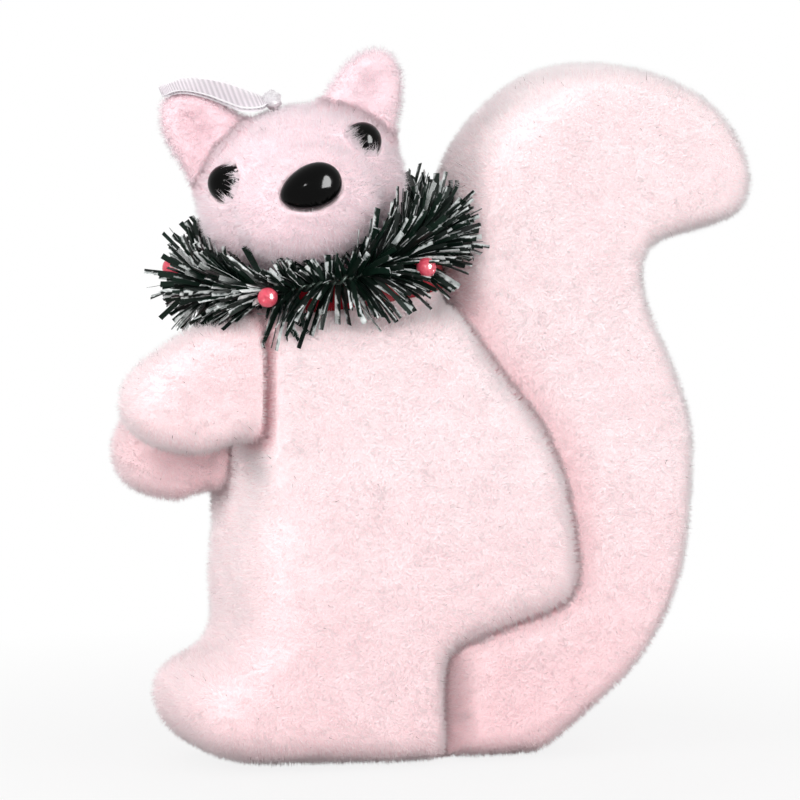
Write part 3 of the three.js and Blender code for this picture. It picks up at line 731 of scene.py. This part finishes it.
def coat(node, seed):
    rng = np.random.default_rng(seed)
    root, way, reach, hollow = cut_fibres(*grow_fibres(node, rng))
    count = len(root)
    wide = FIBRE_WIDE * rng.uniform(0.7, 1.2, count)
    values = {"tone": rng.random(count),
              "stray": (rng.random(count) < STRAY_SHARE).astype(float),
              "hollow": hollow, "cool": np.full(count, COOL.get(node, 0.0))}
    parts = math.ceil(count * 3 / MOST_TRIANGLES)
    for i, lot in enumerate(np.array_split(np.arange(count), parts)):
        piece = fibre_mesh(f"{node}_flock_{i + 1}", root[lot], way[lot], reach[lot], wide[lot],
                           {label: value[lot] for label, value in values.items()})
        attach(piece, "figure")
    print(node, "coat:", count, "fibres in", parts, "pieces")


for seed, node in enumerate(skins, start=11):
    coat(node, seed)

# %% [markdown]
# ## Bead eyes and nose
# These are moulded plastic beads with a high gloss, pushed in on wire stems, with the same sizes
# as their sockets. A dense sphere keeps their highlights clean.

# %% The bead finish
bead_gloss, tree, shader = new_material(
    "bead_gloss", Base_Color=srgb(2, 2, 2), Specular_IOR_Level=0.08)
fine_marks = mottle(tree, 260.0, 1800.0, 0.3)
two_tones(tree, shader, fine_marks, (0.3, grey(0.08)), (0.75, grey(0.16)), "Roughness")
bump(tree, shader, fine_marks, 0.04, 0.0004)
print("made", bead_gloss.name)


# %% A ball, and the dimples of its drilled hole
def ball(name, radius, columns=48, rows=32):
    bpy.ops.object.select_all(action="DESELECT")
    bpy.ops.mesh.primitive_uv_sphere_add(segments=columns, ring_count=rows, radius=radius)
    piece = bpy.context.object
    piece.name = name
    piece.data.name = name
    piece.data.shade_smooth()
    return piece


def dimple(piece, depth, width):
    for vertex in piece.data.vertices:
        out = math.hypot(vertex.co.x, vertex.co.y)
        if out < width:
            share = (1 - (out / width) ** 2) ** 2
            vertex.co.z -= math.copysign(depth * share, vertex.co.z)


# %% The two eyes
EYE_HOLE = (0.25 * MM, 0.9 * MM)


def make_eye(side, word):
    middle, out = eye_middle(side)
    eye = ball(word + "_eye_bead", EYE_R)
    dimple(eye, *EYE_HOLE)
    turn = out.to_track_quat("Y", "Z").to_matrix().to_4x4()
    eye.data.transform(HEAD_FRAME @ Matrix.Translation(middle) @ turn)
    eye.data.materials.append(bead_gloss)
    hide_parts(word + "_eye")
    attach(eye, "figure")
    return eye


eyes = [make_eye(side, word) for side, word in ((-1, "left"), (1, "right"))]
print("eyes:", [e.name for e in eyes])

# %% The egg-shaped nose
NOSE_SIZE = Vector((12.4, 8, 8.7)) * MM
NOSE_SWELL = 0.3
NOSE_TIP = math.radians(-5)

nose = ball("nose_bead", 0.5, 64, 40)
for vertex in nose.data.vertices:
    vertex.co = Vector([a * b for a, b in zip(vertex.co, NOSE_SIZE)])
    vertex.co.z *= 1 + NOSE_SWELL * vertex.co.x / NOSE_SIZE.x
nose.data.transform(Matrix.Rotation(NOSE_TIP, 4, "Y"))
nose.data.transform(HEAD_FRAME @ Matrix.Translation(NOSE_MIDDLE))
nose.data.materials.append(bead_gloss)
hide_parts("nose")
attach(nose, "figure")
print("nose box:", [round(v / MM, 1) for v in nose.dimensions], "mm")

# %% [markdown]
# ## The collar
# Under the garland a burgundy satin band goes round the neck. The CAD band gives its place, and
# a remesh with a smooth turns it into soft cloth with slightly rolled edges.

# %% The satin band
collar_satin, tree, shader = new_material(
    "collar_satin", Roughness=0.5, Sheen_Weight=0.1, Specular_IOR_Level=0.08)
two_tones(tree, shader, mottle(tree, 160.0, 900.0, 0.4),
          (0.3, srgb(120, 8, 22)), (0.7, srgb(172, 22, 40)))
threads = lines(tree, 900.0, 1.5)
threads.bands_direction = "Z"
bump(tree, shader, threads.outputs["Fac"], 0.25, 0.0002)

# %% The band's shape
COLLAR_VOXEL = 0.35 * MM

collar = copy_of_node("collar", "collar_band")
add_modifier(collar, "REMESH", mode="VOXEL", voxel_size=COLLAR_VOXEL, use_smooth_shade=True)
add_modifier(collar, "SMOOTH", factor=0.5, iterations=4)
add_modifier(collar, "DISPLACE", texture=uneven, texture_coords="LOCAL", strength=0.5 * MM)
apply_modifiers(collar)
collar.data.materials.append(collar_satin)
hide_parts("collar")
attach(collar, "figure")
print("collar:", triangle_count(collar), "triangles")

# %% [markdown]
# ## The garland
# A real garland is thousands of slit film blades caught between two twisted wires. Its ring
# leans back and to one side. The blades stand in small bunches and sweep away from the front on
# both sides. They are short under the chin and long beside the cheek, and where one meets the
# foam it bends and lies along it.

# %% The ring
RING_MIDDLE = SHIFT + Vector((-22.4, 0, 101)) * MM
RING_RISE = math.radians(15.5)
RING_LEAN = math.radians(7)
RING_X = Vector((math.cos(RING_RISE), 0, math.sin(RING_RISE)))
RING_Y = Vector((0, math.cos(RING_LEAN), math.sin(RING_LEAN)))
RING_RX, RING_RY = 23.8 * MM, 24 * MM
RING_UP = RING_X.cross(RING_Y).normalized()


def ring_frame(angle):
    at = RING_MIDDLE + RING_X * RING_RX * math.cos(angle) + RING_Y * RING_RY * math.sin(angle)
    along = (-RING_X * RING_RX * math.sin(angle) + RING_Y * RING_RY * math.cos(angle)).normalized()
    return at, along, along.cross(RING_UP).normalized()


# %% Everything that blades can meet
OBSTACLES = tree_of(skins.values())

# %% Film finish with frost
needle_film, tree, shader = new_material("needle_film", Specular_IOR_Level=0.15)
flakes = mottle(tree, 380.0, 1300.0, 0.3)
coverage = math_of(tree, "ADD", flakes, attribute(tree, "frostward"))
frost = ramp(tree, coverage, [(0.78, grey(0)), (0.9, grey(1))])
film = ramp(tree, attribute(tree, "tone"), [(0.0, srgb(2, 7, 5)), (1.0, srgb(14, 32, 24))])
powder = ramp(tree, flakes, [(0.35, srgb(132, 142, 140)), (0.65, srgb(226, 230, 229))])
tree.links.new(mixed(tree, frost, film, powder), shader.inputs["Base Color"])
two_tones(tree, shader, frost, (0, grey(0.3)), (1, grey(0.9)), "Roughness")
bump(tree, shader, frost, 0.5, 0.0001)
print("made", needle_film.name)

# %% The path of one blade
# Three points: the root on the core, a knee where the blade bends, and the tip
CHIN = math.radians(-112)
CHEEK = math.radians(-72)
CHEEK_COMB = Vector((0.35, -0.3, 0.5))
ROOT_OUT = 0.5
TOO_NEAR = 1.2 * MM
KNEE_OFF = 1.0 * MM
SKIN_LIFT = 0.25


def blade_path(angle, turn, sweep, long):
    at, along, out = ring_frame(angle)
    radial = out * math.cos(turn) + RING_UP * math.sin(turn)
    side = math.cos(angle)
    comb = Vector((0.45 * side, 0, 0.3 * abs(side))) * max(0, -math.sin(angle) + 0.3)
    comb += CHEEK_COMB * math.exp(-((angle - CHEEK) / 0.4) ** 2)
    way = (radial * math.cos(sweep) + along * math.sin(sweep) + comb).normalized()
    root = at + radial * ROOT_OUT * MM
    hit, normal, _, far = OBSTACLES.ray_cast(root, way, long + 0.6 * MM)
    if hit is None:
        droop = Vector((0, 0, -1)) * 0.05 * long
        return [root, root + way * long * 0.55, root + way * long + droop], radial
    if far < TOO_NEAR:
        return None, radial
    knee = root + way * max(far - KNEE_OFF, 0.5 * MM)
    slide = way - normal * way.dot(normal)
    if slide.length < 0.2:
        return [root, root.lerp(knee, 0.5), knee], radial
    rest = (slide.normalized() * 0.95 + normal * SKIN_LIFT).normalized()
    return [root, knee, knee + rest * max(long - far, 1.2 * MM) * 0.8], radial


# %% The thin box along a blade's path
BLADE_WIDE = 1.1 * MM
BLADE_THICK = 0.09 * MM
BLADE_ROLL = 0.9


def blade_places(path, radial, rng):
    stem = path[1] - path[0]
    face_way = stem.cross(radial.cross(stem)).normalized()
    roll = Matrix.Rotation(rng.normal() * BLADE_ROLL, 3, stem.normalized())
    aside = (roll @ stem.cross(face_way)).normalized()
    wide = BLADE_WIDE * rng.uniform(0.6, 1.15)
    places = []
    for point, way in zip(path, (stem, path[2] - path[0], path[2] - path[1])):
        flat = aside.cross(way).normalized()
        across = way.cross(flat).normalized()
        for a, b in ((-1, -1), (1, -1), (1, 1), (-1, 1)):
            places.append(point + across * a * wide / 2 + flat * b * BLADE_THICK / 2)
    return places


def blade_faces(first):
    faces = []
    for ring in (first, first + 4):
        for k in range(4):
            n = (k + 1) % 4
            faces.append((ring + k, ring + n, ring + 4 + n, ring + 4 + k))
    faces.append((first + 3, first + 2, first + 1, first))
    faces.append((first + 8, first + 9, first + 10, first + 11))
    return faces


# %% Frost, more of it towards the tip and along one edge of each blade
FROST_LANE = 0.2
FROST_LEVEL = -0.08
FROST_SPREAD = 0.13
FROST_ALONG = (-0.2, 0.18, 0.3)


def frost_of_blade(rng):
    dust = rng.normal() * FROST_SPREAD + FROST_LEVEL
    edge = FROST_LANE * rng.choice((-1, 1))
    lanes = np.array([-edge, edge, edge, -edge]) + dust
    return [value for step in FROST_ALONG for value in lanes + step]


# %% Blades of one arc
BLADE_LONG = 10.4 * MM
SWEEP = math.radians(38)
PARTS = 4
BLADES_PER_PART = 560
BUNCH = 5
BUNCH_SWEEP = 0.26
BUNCH_SPREAD = (0.035, 0.16, 0.07)
CHIN_CUT = 0.6
CHEEK_GAIN = 0.45


def garland_blades(part):
    rng = np.random.default_rng(40 + part)
    places, faces, frosts, tones = [], [], [], []
    start_angle = -math.pi / 2 - math.pi / PARTS + part * 2 * math.pi / PARTS
    for i in range(BLADES_PER_PART):
        if i % BUNCH == 0:
            bunch = np.array((start_angle + rng.random() * 2 * math.pi / PARTS,
                              rng.random() * 2 * math.pi, rng.normal() * BUNCH_SWEEP))
        angle, turn, sweep = bunch + rng.normal(size=3) * BUNCH_SPREAD
        sweep += SWEEP * math.cos(angle)
        long = BLADE_LONG * rng.uniform(0.65, 1.15)
        rise = max(0, math.sin(turn))
        long *= 1 - CHIN_CUT * math.exp(-((angle - CHIN) / 0.36) ** 2) * rise
        long *= 1 + CHEEK_GAIN * math.exp(-((angle - CHEEK) / 0.35) ** 2) * rise
        path, radial = blade_path(angle, turn, sweep, long)
        if path is None:
            continue
        faces += blade_faces(len(places))
        places += blade_places(path, radial, rng)
        frosts += frost_of_blade(rng)
        tones += [rng.random()] * 12
    piece = mesh_piece(f"garland_blades_{part + 1}", places, faces, smooth=False)
    set_marks(piece.data, {"frostward": frosts, "tone": tones})
    piece.data.materials.append(needle_film)
    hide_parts(f"garland_{part + 1}")
    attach(piece, "figure")
    return piece


blades = [garland_blades(part) for part in range(PARTS)]
print("blades:", sum(triangle_count(b) for b in blades), "triangles")

# %% A tube round a closed path
TUBE_SIDES = 8


def closed_tube(name, path, radius):
    places, faces = [], []
    aside = None
    for i, point in enumerate(path):
        way = (path[(i + 1) % len(path)] - path[i - 1]).normalized()
        aside = aside or way.orthogonal()
        aside = (aside - way * aside.dot(way)).normalized()
        other = way.cross(aside)
        for k in range(TUBE_SIDES):
            a = 2 * math.pi * k / TUBE_SIDES
            places.append(point + (aside * math.cos(a) + other * math.sin(a)) * radius)
    for i in range(len(path)):
        here, after = i * TUBE_SIDES, (i + 1) % len(path) * TUBE_SIDES
        for k in range(TUBE_SIDES):
            m = (k + 1) % TUBE_SIDES
            faces.append((here + k, here + m, after + m, after + k))
    return mesh_piece(name, places, faces)


# %% The twisted core
core_wire, tree, shader = new_material(
    "core_wire", Metallic=0.6, Roughness=0.45, Specular_IOR_Level=0.5)
two_tones(tree, shader, mottle(tree, 300.0, 1200.0, 0.5),
          (0.3, srgb(14, 24, 18)), (0.7, srgb(38, 52, 44)))

STRAND_R = 0.42 * MM
STRAND_OUT = 0.45
STRAND_POINTS = 480
TWISTS = 44


def core_strand(number):
    path = []
    for i in range(STRAND_POINTS):
        angle = 2 * math.pi * i / STRAND_POINTS
        at, _, out = ring_frame(angle)
        twist = angle * TWISTS + math.pi * number
        path.append(at + (out * math.cos(twist) + RING_UP * math.sin(twist)) * STRAND_OUT * MM)
    strand = closed_tube(f"garland_wire_{number + 1}", path, STRAND_R)
    strand.data.materials.append(core_wire)
    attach(strand, "figure")
    return strand


core = [core_strand(number) for number in (0, 1)]
print("core strands:", len(core))

# %% [markdown]
# ## Berries
# The berries are drilled beads with a pearly pink lacquer, each on a thin red wire twisted into
# the core. A ball gets the dimples of its drilled hole and turns to face along its wire.

# %% The pearl finish
berry_pearl, tree, shader = new_material(
    "berry_pearl", Roughness=0.28, Coat_Weight=0.6, Coat_Roughness=0.08,
    Specular_IOR_Level=0.5)
pearly = mottle(tree, 320.0, 1500.0, 0.35)
two_tones(tree, shader, pearly, (0.3, srgb(188, 34, 62)), (0.7, srgb(232, 92, 112)))
bump(tree, shader, pearly, 0.08, 0.0003)

# %% The five berries
# Each place is an angle round the ring and a turn up from it, in degrees
BERRY_PLACES = [(-129, 9), (-65.5, -15), (152, 20), (118, 25), (38, 15)]
BERRY_OUT = 6.6 * MM
BERRY_R = 1.95 * MM
BERRY_HOLE = (0.5 * MM, 0.55 * MM)


def make_berry(number, angle, turn):
    at, _, out = ring_frame(math.radians(angle))
    way = out * math.cos(math.radians(turn)) + RING_UP * math.sin(math.radians(turn))
    berry = ball(f"berry_bead_{number}", BERRY_R, 28, 18)
    dimple(berry, *BERRY_HOLE)
    berry.data.transform(Matrix.Translation(at + way * BERRY_OUT)
                         @ way.to_track_quat("Z", "X").to_matrix().to_4x4())
    berry.data.materials.append(berry_pearl)
    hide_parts(f"berry_{number}")
    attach(berry, "figure")
    return berry


berries = [make_berry(i + 1, *place) for i, place in enumerate(BERRY_PLACES)]
print("berries:", len(berries))

# %% [markdown]
# ## The hanging loop
# A sheer organza ribbon is tied behind the crown and droops over one ear. Organza has fine
# cross ribs that light passes between, and a bright satin edge on each side. The ribbon is one
# strip: out along the ear, round a fold and back.

# %% The knot's frame
KNOT_R = 1.9 * MM
KNOT_BACK = 1.5 * MM
KNOT_UP = HEAD_SIZE.z / 2 * math.sqrt(1 - (2 * KNOT_BACK / HEAD_SIZE.y) ** 2) + KNOT_R
KNOT_LEAN = math.radians(9)
KNOT_FRAME = (HEAD_FRAME @ Matrix.Translation(Vector((0, KNOT_BACK, KNOT_UP)))
              @ Matrix.Rotation(KNOT_LEAN, 4, "X"))


# %% A smooth line through points
def smooth_line(points, steps):
    points = [Vector(p) for p in points]
    ends = [points[0] * 2 - points[1]] + points + [points[-1] * 2 - points[-2]]
    line = []
    for i in range(1, len(ends) - 2):
        a, b, c, d = ends[i - 1:i + 3]
        for k in range(steps):
            t = k / steps
            line.append(0.5 * ((2 * b) + (c - a) * t + (2 * a - 5 * b + 4 * c - d) * t * t
                               + (3 * b - a - 3 * c + d) * t ** 3))
    return line + [points[-1]]


# %% The ribbon's line, out and back, in mm of the knot's frame
LOOP_POINTS = [(-1.0, 1.3), (-2.7, 2.3), (-8.5, 6.0), (-14.5, 8.6), (-18.4, 9.3), (-20.3, 9.2)]
STEPS_PER_POINT = 7


def ribbon_outline():
    middle = smooth_line(LOOP_POINTS, STEPS_PER_POINT)
    count = len(middle)
    out, back = [], []
    for i, at in enumerate(middle):
        t = i / (count - 1)
        way = (middle[min(i + 1, count - 1)] - middle[max(i - 1, 0)]).normalized()
        side = Vector((way.y, -way.x)) * (0.2 + 0.12 * math.sin(math.pi * t))
        out.append(at - side)
        back.append(at + side)
    turn = [middle[-1] + Vector((-0.4 * math.sin(a), 0.2 * math.cos(a)))
            for a in (math.pi * 0.25, math.pi * 0.5, math.pi * 0.75)]
    return out + turn + back[::-1]


outline = ribbon_outline()
outline_length = sum((b - a).length for a, b in zip(outline, outline[1:])) * MM

# %% The ribbon's strip
# Pinched at the knot, narrower at the fold, sloped over the ear and hanging a little before it
RIBBON_WIDE = 10 * MM
ACROSS = 20
DROOP = math.radians(15)
LIFT = -1.1
HANG = 1.7
KNOT_PINCH = 0.45
FOLD_NARROW = 0.3
RIPPLE = 0.15


def ribbon_place(at, share, v):
    pinch = 1 - KNOT_PINCH * max(0, 1 - min(share, 1 - share) / 0.1)
    ripple = RIPPLE * math.sin(share * 40 + v * 2.6) * (1 - 0.3 * v * v)
    tip = min(max((-at.x - 10) / 9, 0), 1)
    slope = DROOP * min(max((-at.x - 1) / 6, 0), 1) * (1 - 0.6 * tip)
    hang = HANG * math.exp(-((at.x + 6.5) / 4.5) ** 2) * (0.5 + 0.5 * (0.5 - v / 2) ** 1.5)
    y = v * pinch * (1 - FOLD_NARROW * tip) * RIBBON_WIDE / 2 / MM
    z = at.y + LIFT - hang - ripple + y * math.sin(slope)
    return KNOT_FRAME @ (Vector((at.x, y * math.cos(slope), z)) * MM)


places, faces, ribbon_uv = [], [], []
for i, at in enumerate(outline):
    share = i / (len(outline) - 1)
    for j in range(ACROSS + 1):
        places.append(ribbon_place(at, share, j / ACROSS * 2 - 1))
        ribbon_uv.append((share * outline_length / RIBBON_WIDE, j / ACROSS))
for i in range(len(outline) - 1):
    for j in range(ACROSS):
        a = i * (ACROSS + 1) + j
        faces.append((a, a + 1, a + ACROSS + 2, a + ACROSS + 1))
ribbon = mesh_piece("ribbon_strip", places, faces)
layer = ribbon.data.uv_layers.new(name="weave")
for loop in ribbon.data.loops:
    layer.data[loop.index].uv = ribbon_uv[loop.vertex_index]
print("ribbon length:", round(outline_length / MM, 1), "mm")

# %% The organza finish
organza, tree, shader = new_material(
    "organza", Roughness=0.45, Specular_IOR_Level=0.25, Sheen_Weight=0.2)
uv = tree.nodes.new("ShaderNodeUVMap")
uv.uv_map = "weave"
split = tree.nodes.new("ShaderNodeSeparateXYZ")
tree.links.new(uv.outputs["UV"], split.inputs["Vector"])
RIBS_PER_WIDTH = 15
THREADS_ACROSS = 40


def waves(value, count):
    sine = math_of(tree, "SINE", math_of(tree, "MULTIPLY", value, 2 * math.pi * count))
    return math_of(tree, "MULTIPLY_ADD", sine, 0.5, 0.5)


ribs = waves(split.outputs["X"], RIBS_PER_WIDTH)
threads = waves(split.outputs["Y"], THREADS_ACROSS)
edge = ramp(tree, split.outputs["Y"],
            [(0.07, grey(1)), (0.1, grey(0)), (0.9, grey(0)), (0.93, grey(1))])
lattice = mixed(tree, 0.5, ribs, threads)
sheer = ramp(tree, lattice, [(0.2, grey(0.68)), (0.75, grey(0.9))])
tree.links.new(mixed(tree, edge, sheer, grey(0.97)), shader.inputs["Alpha"])
cloth = ramp(tree, ribs, [(0, srgb(208, 198, 206)), (1, srgb(238, 228, 235))])
tree.links.new(mixed(tree, edge, cloth, srgb(244, 240, 243)), shader.inputs["Base Color"])
bump(tree, shader, lattice, 0.5, 0.0001)

# %% The ribbon's finish, and the CAD loop hidden
ribbon.data.materials.append(organza)
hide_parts("ribbon_loop")
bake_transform(ribbon)

# %% The knot's cloth
knot_cloth, tree, shader = new_material(
    "knot_cloth", Roughness=0.45, Sheen_Weight=0.3, Specular_IOR_Level=0.4)
two_tones(tree, shader, mottle(tree, 500.0, 2400.0, 0.6),
          (0.3, srgb(178, 173, 178)), (0.7, srgb(226, 222, 225)))
bump(tree, shader, mottle(tree, 900.0, 3000.0, 0.5), 0.4, 0.0002)

# %% The knot, a long ball with folds that wind round it
KNOT_LONG = 4.5
KNOT_HIGH = 1.9
KNOT_TIGHT = 0.93

knot = ball("ribbon_knot_tie", KNOT_R, 40, 28)
for vertex in knot.data.vertices:
    x, y, z = vertex.co
    turn = math.atan2(z, x)
    swell = 1 + 0.1 * math.sin(turn * 5 + y / MM * 2.4) + 0.05 * math.sin(turn * 11 - y / MM * 3)
    vertex.co = Vector((x * swell, y * KNOT_LONG / KNOT_HIGH, z * swell)) * KNOT_TIGHT
knot.data.transform(KNOT_FRAME)
knot.data.materials.append(knot_cloth)
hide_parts("ribbon_knot")
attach(knot, "figure")
print("knot:", triangle_count(knot), "triangles")

# %% [markdown]
# ## Parts that stay as the CAD made them
# The wooden pegs, the berry wires and the pin are the right shape already, so they only get
# their finishes: turned raw wood, red lacquer and drawn steel.

# %% Finishes for pegs, wires and pin
peg_wood, tree, shader = new_material("peg_wood", Roughness=0.75, Specular_IOR_Level=0.3)
rings = lines(tree, 500.0, 3.0)
rings.wave_type = "RINGS"
two_tones(tree, shader, rings.outputs["Fac"],
          (0.2, srgb(176, 138, 88)), (0.8, srgb(214, 182, 132)))
bump(tree, shader, rings.outputs["Fac"], 0.2, 0.0002)

wire_lacquer, tree, shader = new_material(
    "wire_lacquer", Roughness=0.3, Coat_Weight=0.4, Specular_IOR_Level=0.5)
two_tones(tree, shader, mottle(tree, 500.0, 2000.0, 0.5),
          (0.3, srgb(130, 16, 30)), (0.7, srgb(186, 40, 58)))

pin_steel, tree, shader = new_material("pin_steel", Metallic=1.0)
two_tones(tree, shader, mottle(tree, 400.0, 2500.0, 0.6),
          (0.3, srgb(164, 164, 168)), (0.7, srgb(206, 206, 210)))
two_tones(tree, shader, mottle(tree, 700.0, 2500.0, 0.6),
          (0.2, grey(0.2)), (0.8, grey(0.42)), "Roughness")

# %% Each finish on the nodes whose name holds its word
finishes = {"peg": peg_wood, "wire": wire_lacquer, "pin": pin_steel}
for name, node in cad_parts.items():
    for word, finish in finishes.items():
        if word in name:
            node.material_slots[0].material = finish
            print(name, "gets", finish.name)

# %% [markdown]
# ## Floor, background and light
# The photograph shows the figure on pure white. The large floor glows by itself, so that it meets
# the white world with no edge, and a little less in the middle, where it keeps a faint shadow.

# %% Rays that see the background
def seen_directly(tree):
    ray = tree.nodes.new("ShaderNodeLightPath")
    total = ray.outputs["Is Camera Ray"]
    for kind in ("Is Glossy Ray", "Is Transmission Ray"):
        total = math_of(tree, "MAXIMUM", total, ray.outputs[kind])
    return total


# %% The floor
FLOOR_SIZE = 12
FLOOR_COLOUR = (0.5, 0.49, 0.49, 1)
SHADOW_NEAR, SHADOW_FAR = 0.07, 0.2
GLOW_NEAR = 0.86

bpy.ops.object.select_all(action="DESELECT")
bpy.ops.mesh.primitive_plane_add(size=FLOOR_SIZE)
floor = bpy.context.object
floor.name = "floor"
white_floor, tree, shader = new_material(
    "white_floor", Base_Color=FLOOR_COLOUR, Roughness=0.9, Specular_IOR_Level=0.1)
glow = tree.nodes.new("ShaderNodeEmission")
blend = tree.nodes.new("ShaderNodeMixShader")
span = tree.nodes.new("ShaderNodeVectorMath")
span.operation = "LENGTH"
tree.links.new(object_place(tree), span.inputs[0])
fade = tree.nodes.new("ShaderNodeMapRange")
set_inputs(fade, From_Min=SHADOW_NEAR, From_Max=SHADOW_FAR, To_Min=GLOW_NEAR)
tree.links.new(span.outputs["Value"], fade.inputs["Value"])
glow_share = math_of(tree, "MULTIPLY", fade.outputs["Result"], seen_directly(tree))
tree.links.new(glow_share, blend.inputs["Fac"])
tree.links.new(shader.outputs["BSDF"], blend.inputs[1])
tree.links.new(glow.outputs["Emission"], blend.inputs[2])
tree.links.new(blend.outputs["Shader"], tree.nodes["Material Output"].inputs["Surface"])
floor.data.materials.append(white_floor)
print("floor:", FLOOR_SIZE, "m wide")

# %% The world
# White to the camera and in reflections, and dimmer as a light
WORLD_LIGHT = 0.6

world = bpy.data.worlds.new("studio")
bpy.context.scene.world = world
world.use_nodes = True
tree = world.node_tree
backdrop = tree.nodes["Background"]
level = tree.nodes.new("ShaderNodeMapRange")
set_inputs(backdrop, Color=grey(1))
set_inputs(level, To_Min=WORLD_LIGHT, To_Max=1.0)
tree.links.new(seen_directly(tree), level.inputs["Value"])
tree.links.new(level.outputs["Result"], backdrop.inputs["Strength"])


# %% The lamps
# Five light the figure, and the two glints show only as highlights on the beads
AIM = Vector((0, 0, 0.07))


def softbox(name, place, size, power, high=None):
    light = bpy.data.lights.new(name, "AREA")
    light.shape = "ELLIPSE"
    light.size = size
    light.size_y = high or size
    light.energy = power
    lamp = placed(name, light)
    lamp.location = place
    lamp.rotation_euler = (Vector(place) - AIM).to_track_quat("Z", "Y").to_euler()
    return lamp


for name, place, size, power in (
        ("key", (-0.28, -0.84, 0.36), 0.6, 4.1),
        ("fill", (0.6, -0.8, 0.45), 0.5, 1.9),
        ("side", (-0.85, -0.15, 0.3), 0.4, 3.4),
        ("back", (0.3, 0.9, 0.5), 0.6, 3.0),
        ("top", (-0.05, -0.15, 0.9), 0.5, 0.6)):
    softbox(name, place, size, power).visible_glossy = False
softbox("glint", (0.35, -0.72, 0.18), 0.4, 70.0, high=1.0).visible_diffuse = False
softbox("small_glint", (-0.5, -0.7, 0.4), 0.08, 1.6).visible_diffuse = False
bpy.context.scene.view_settings.view_transform = "Standard"
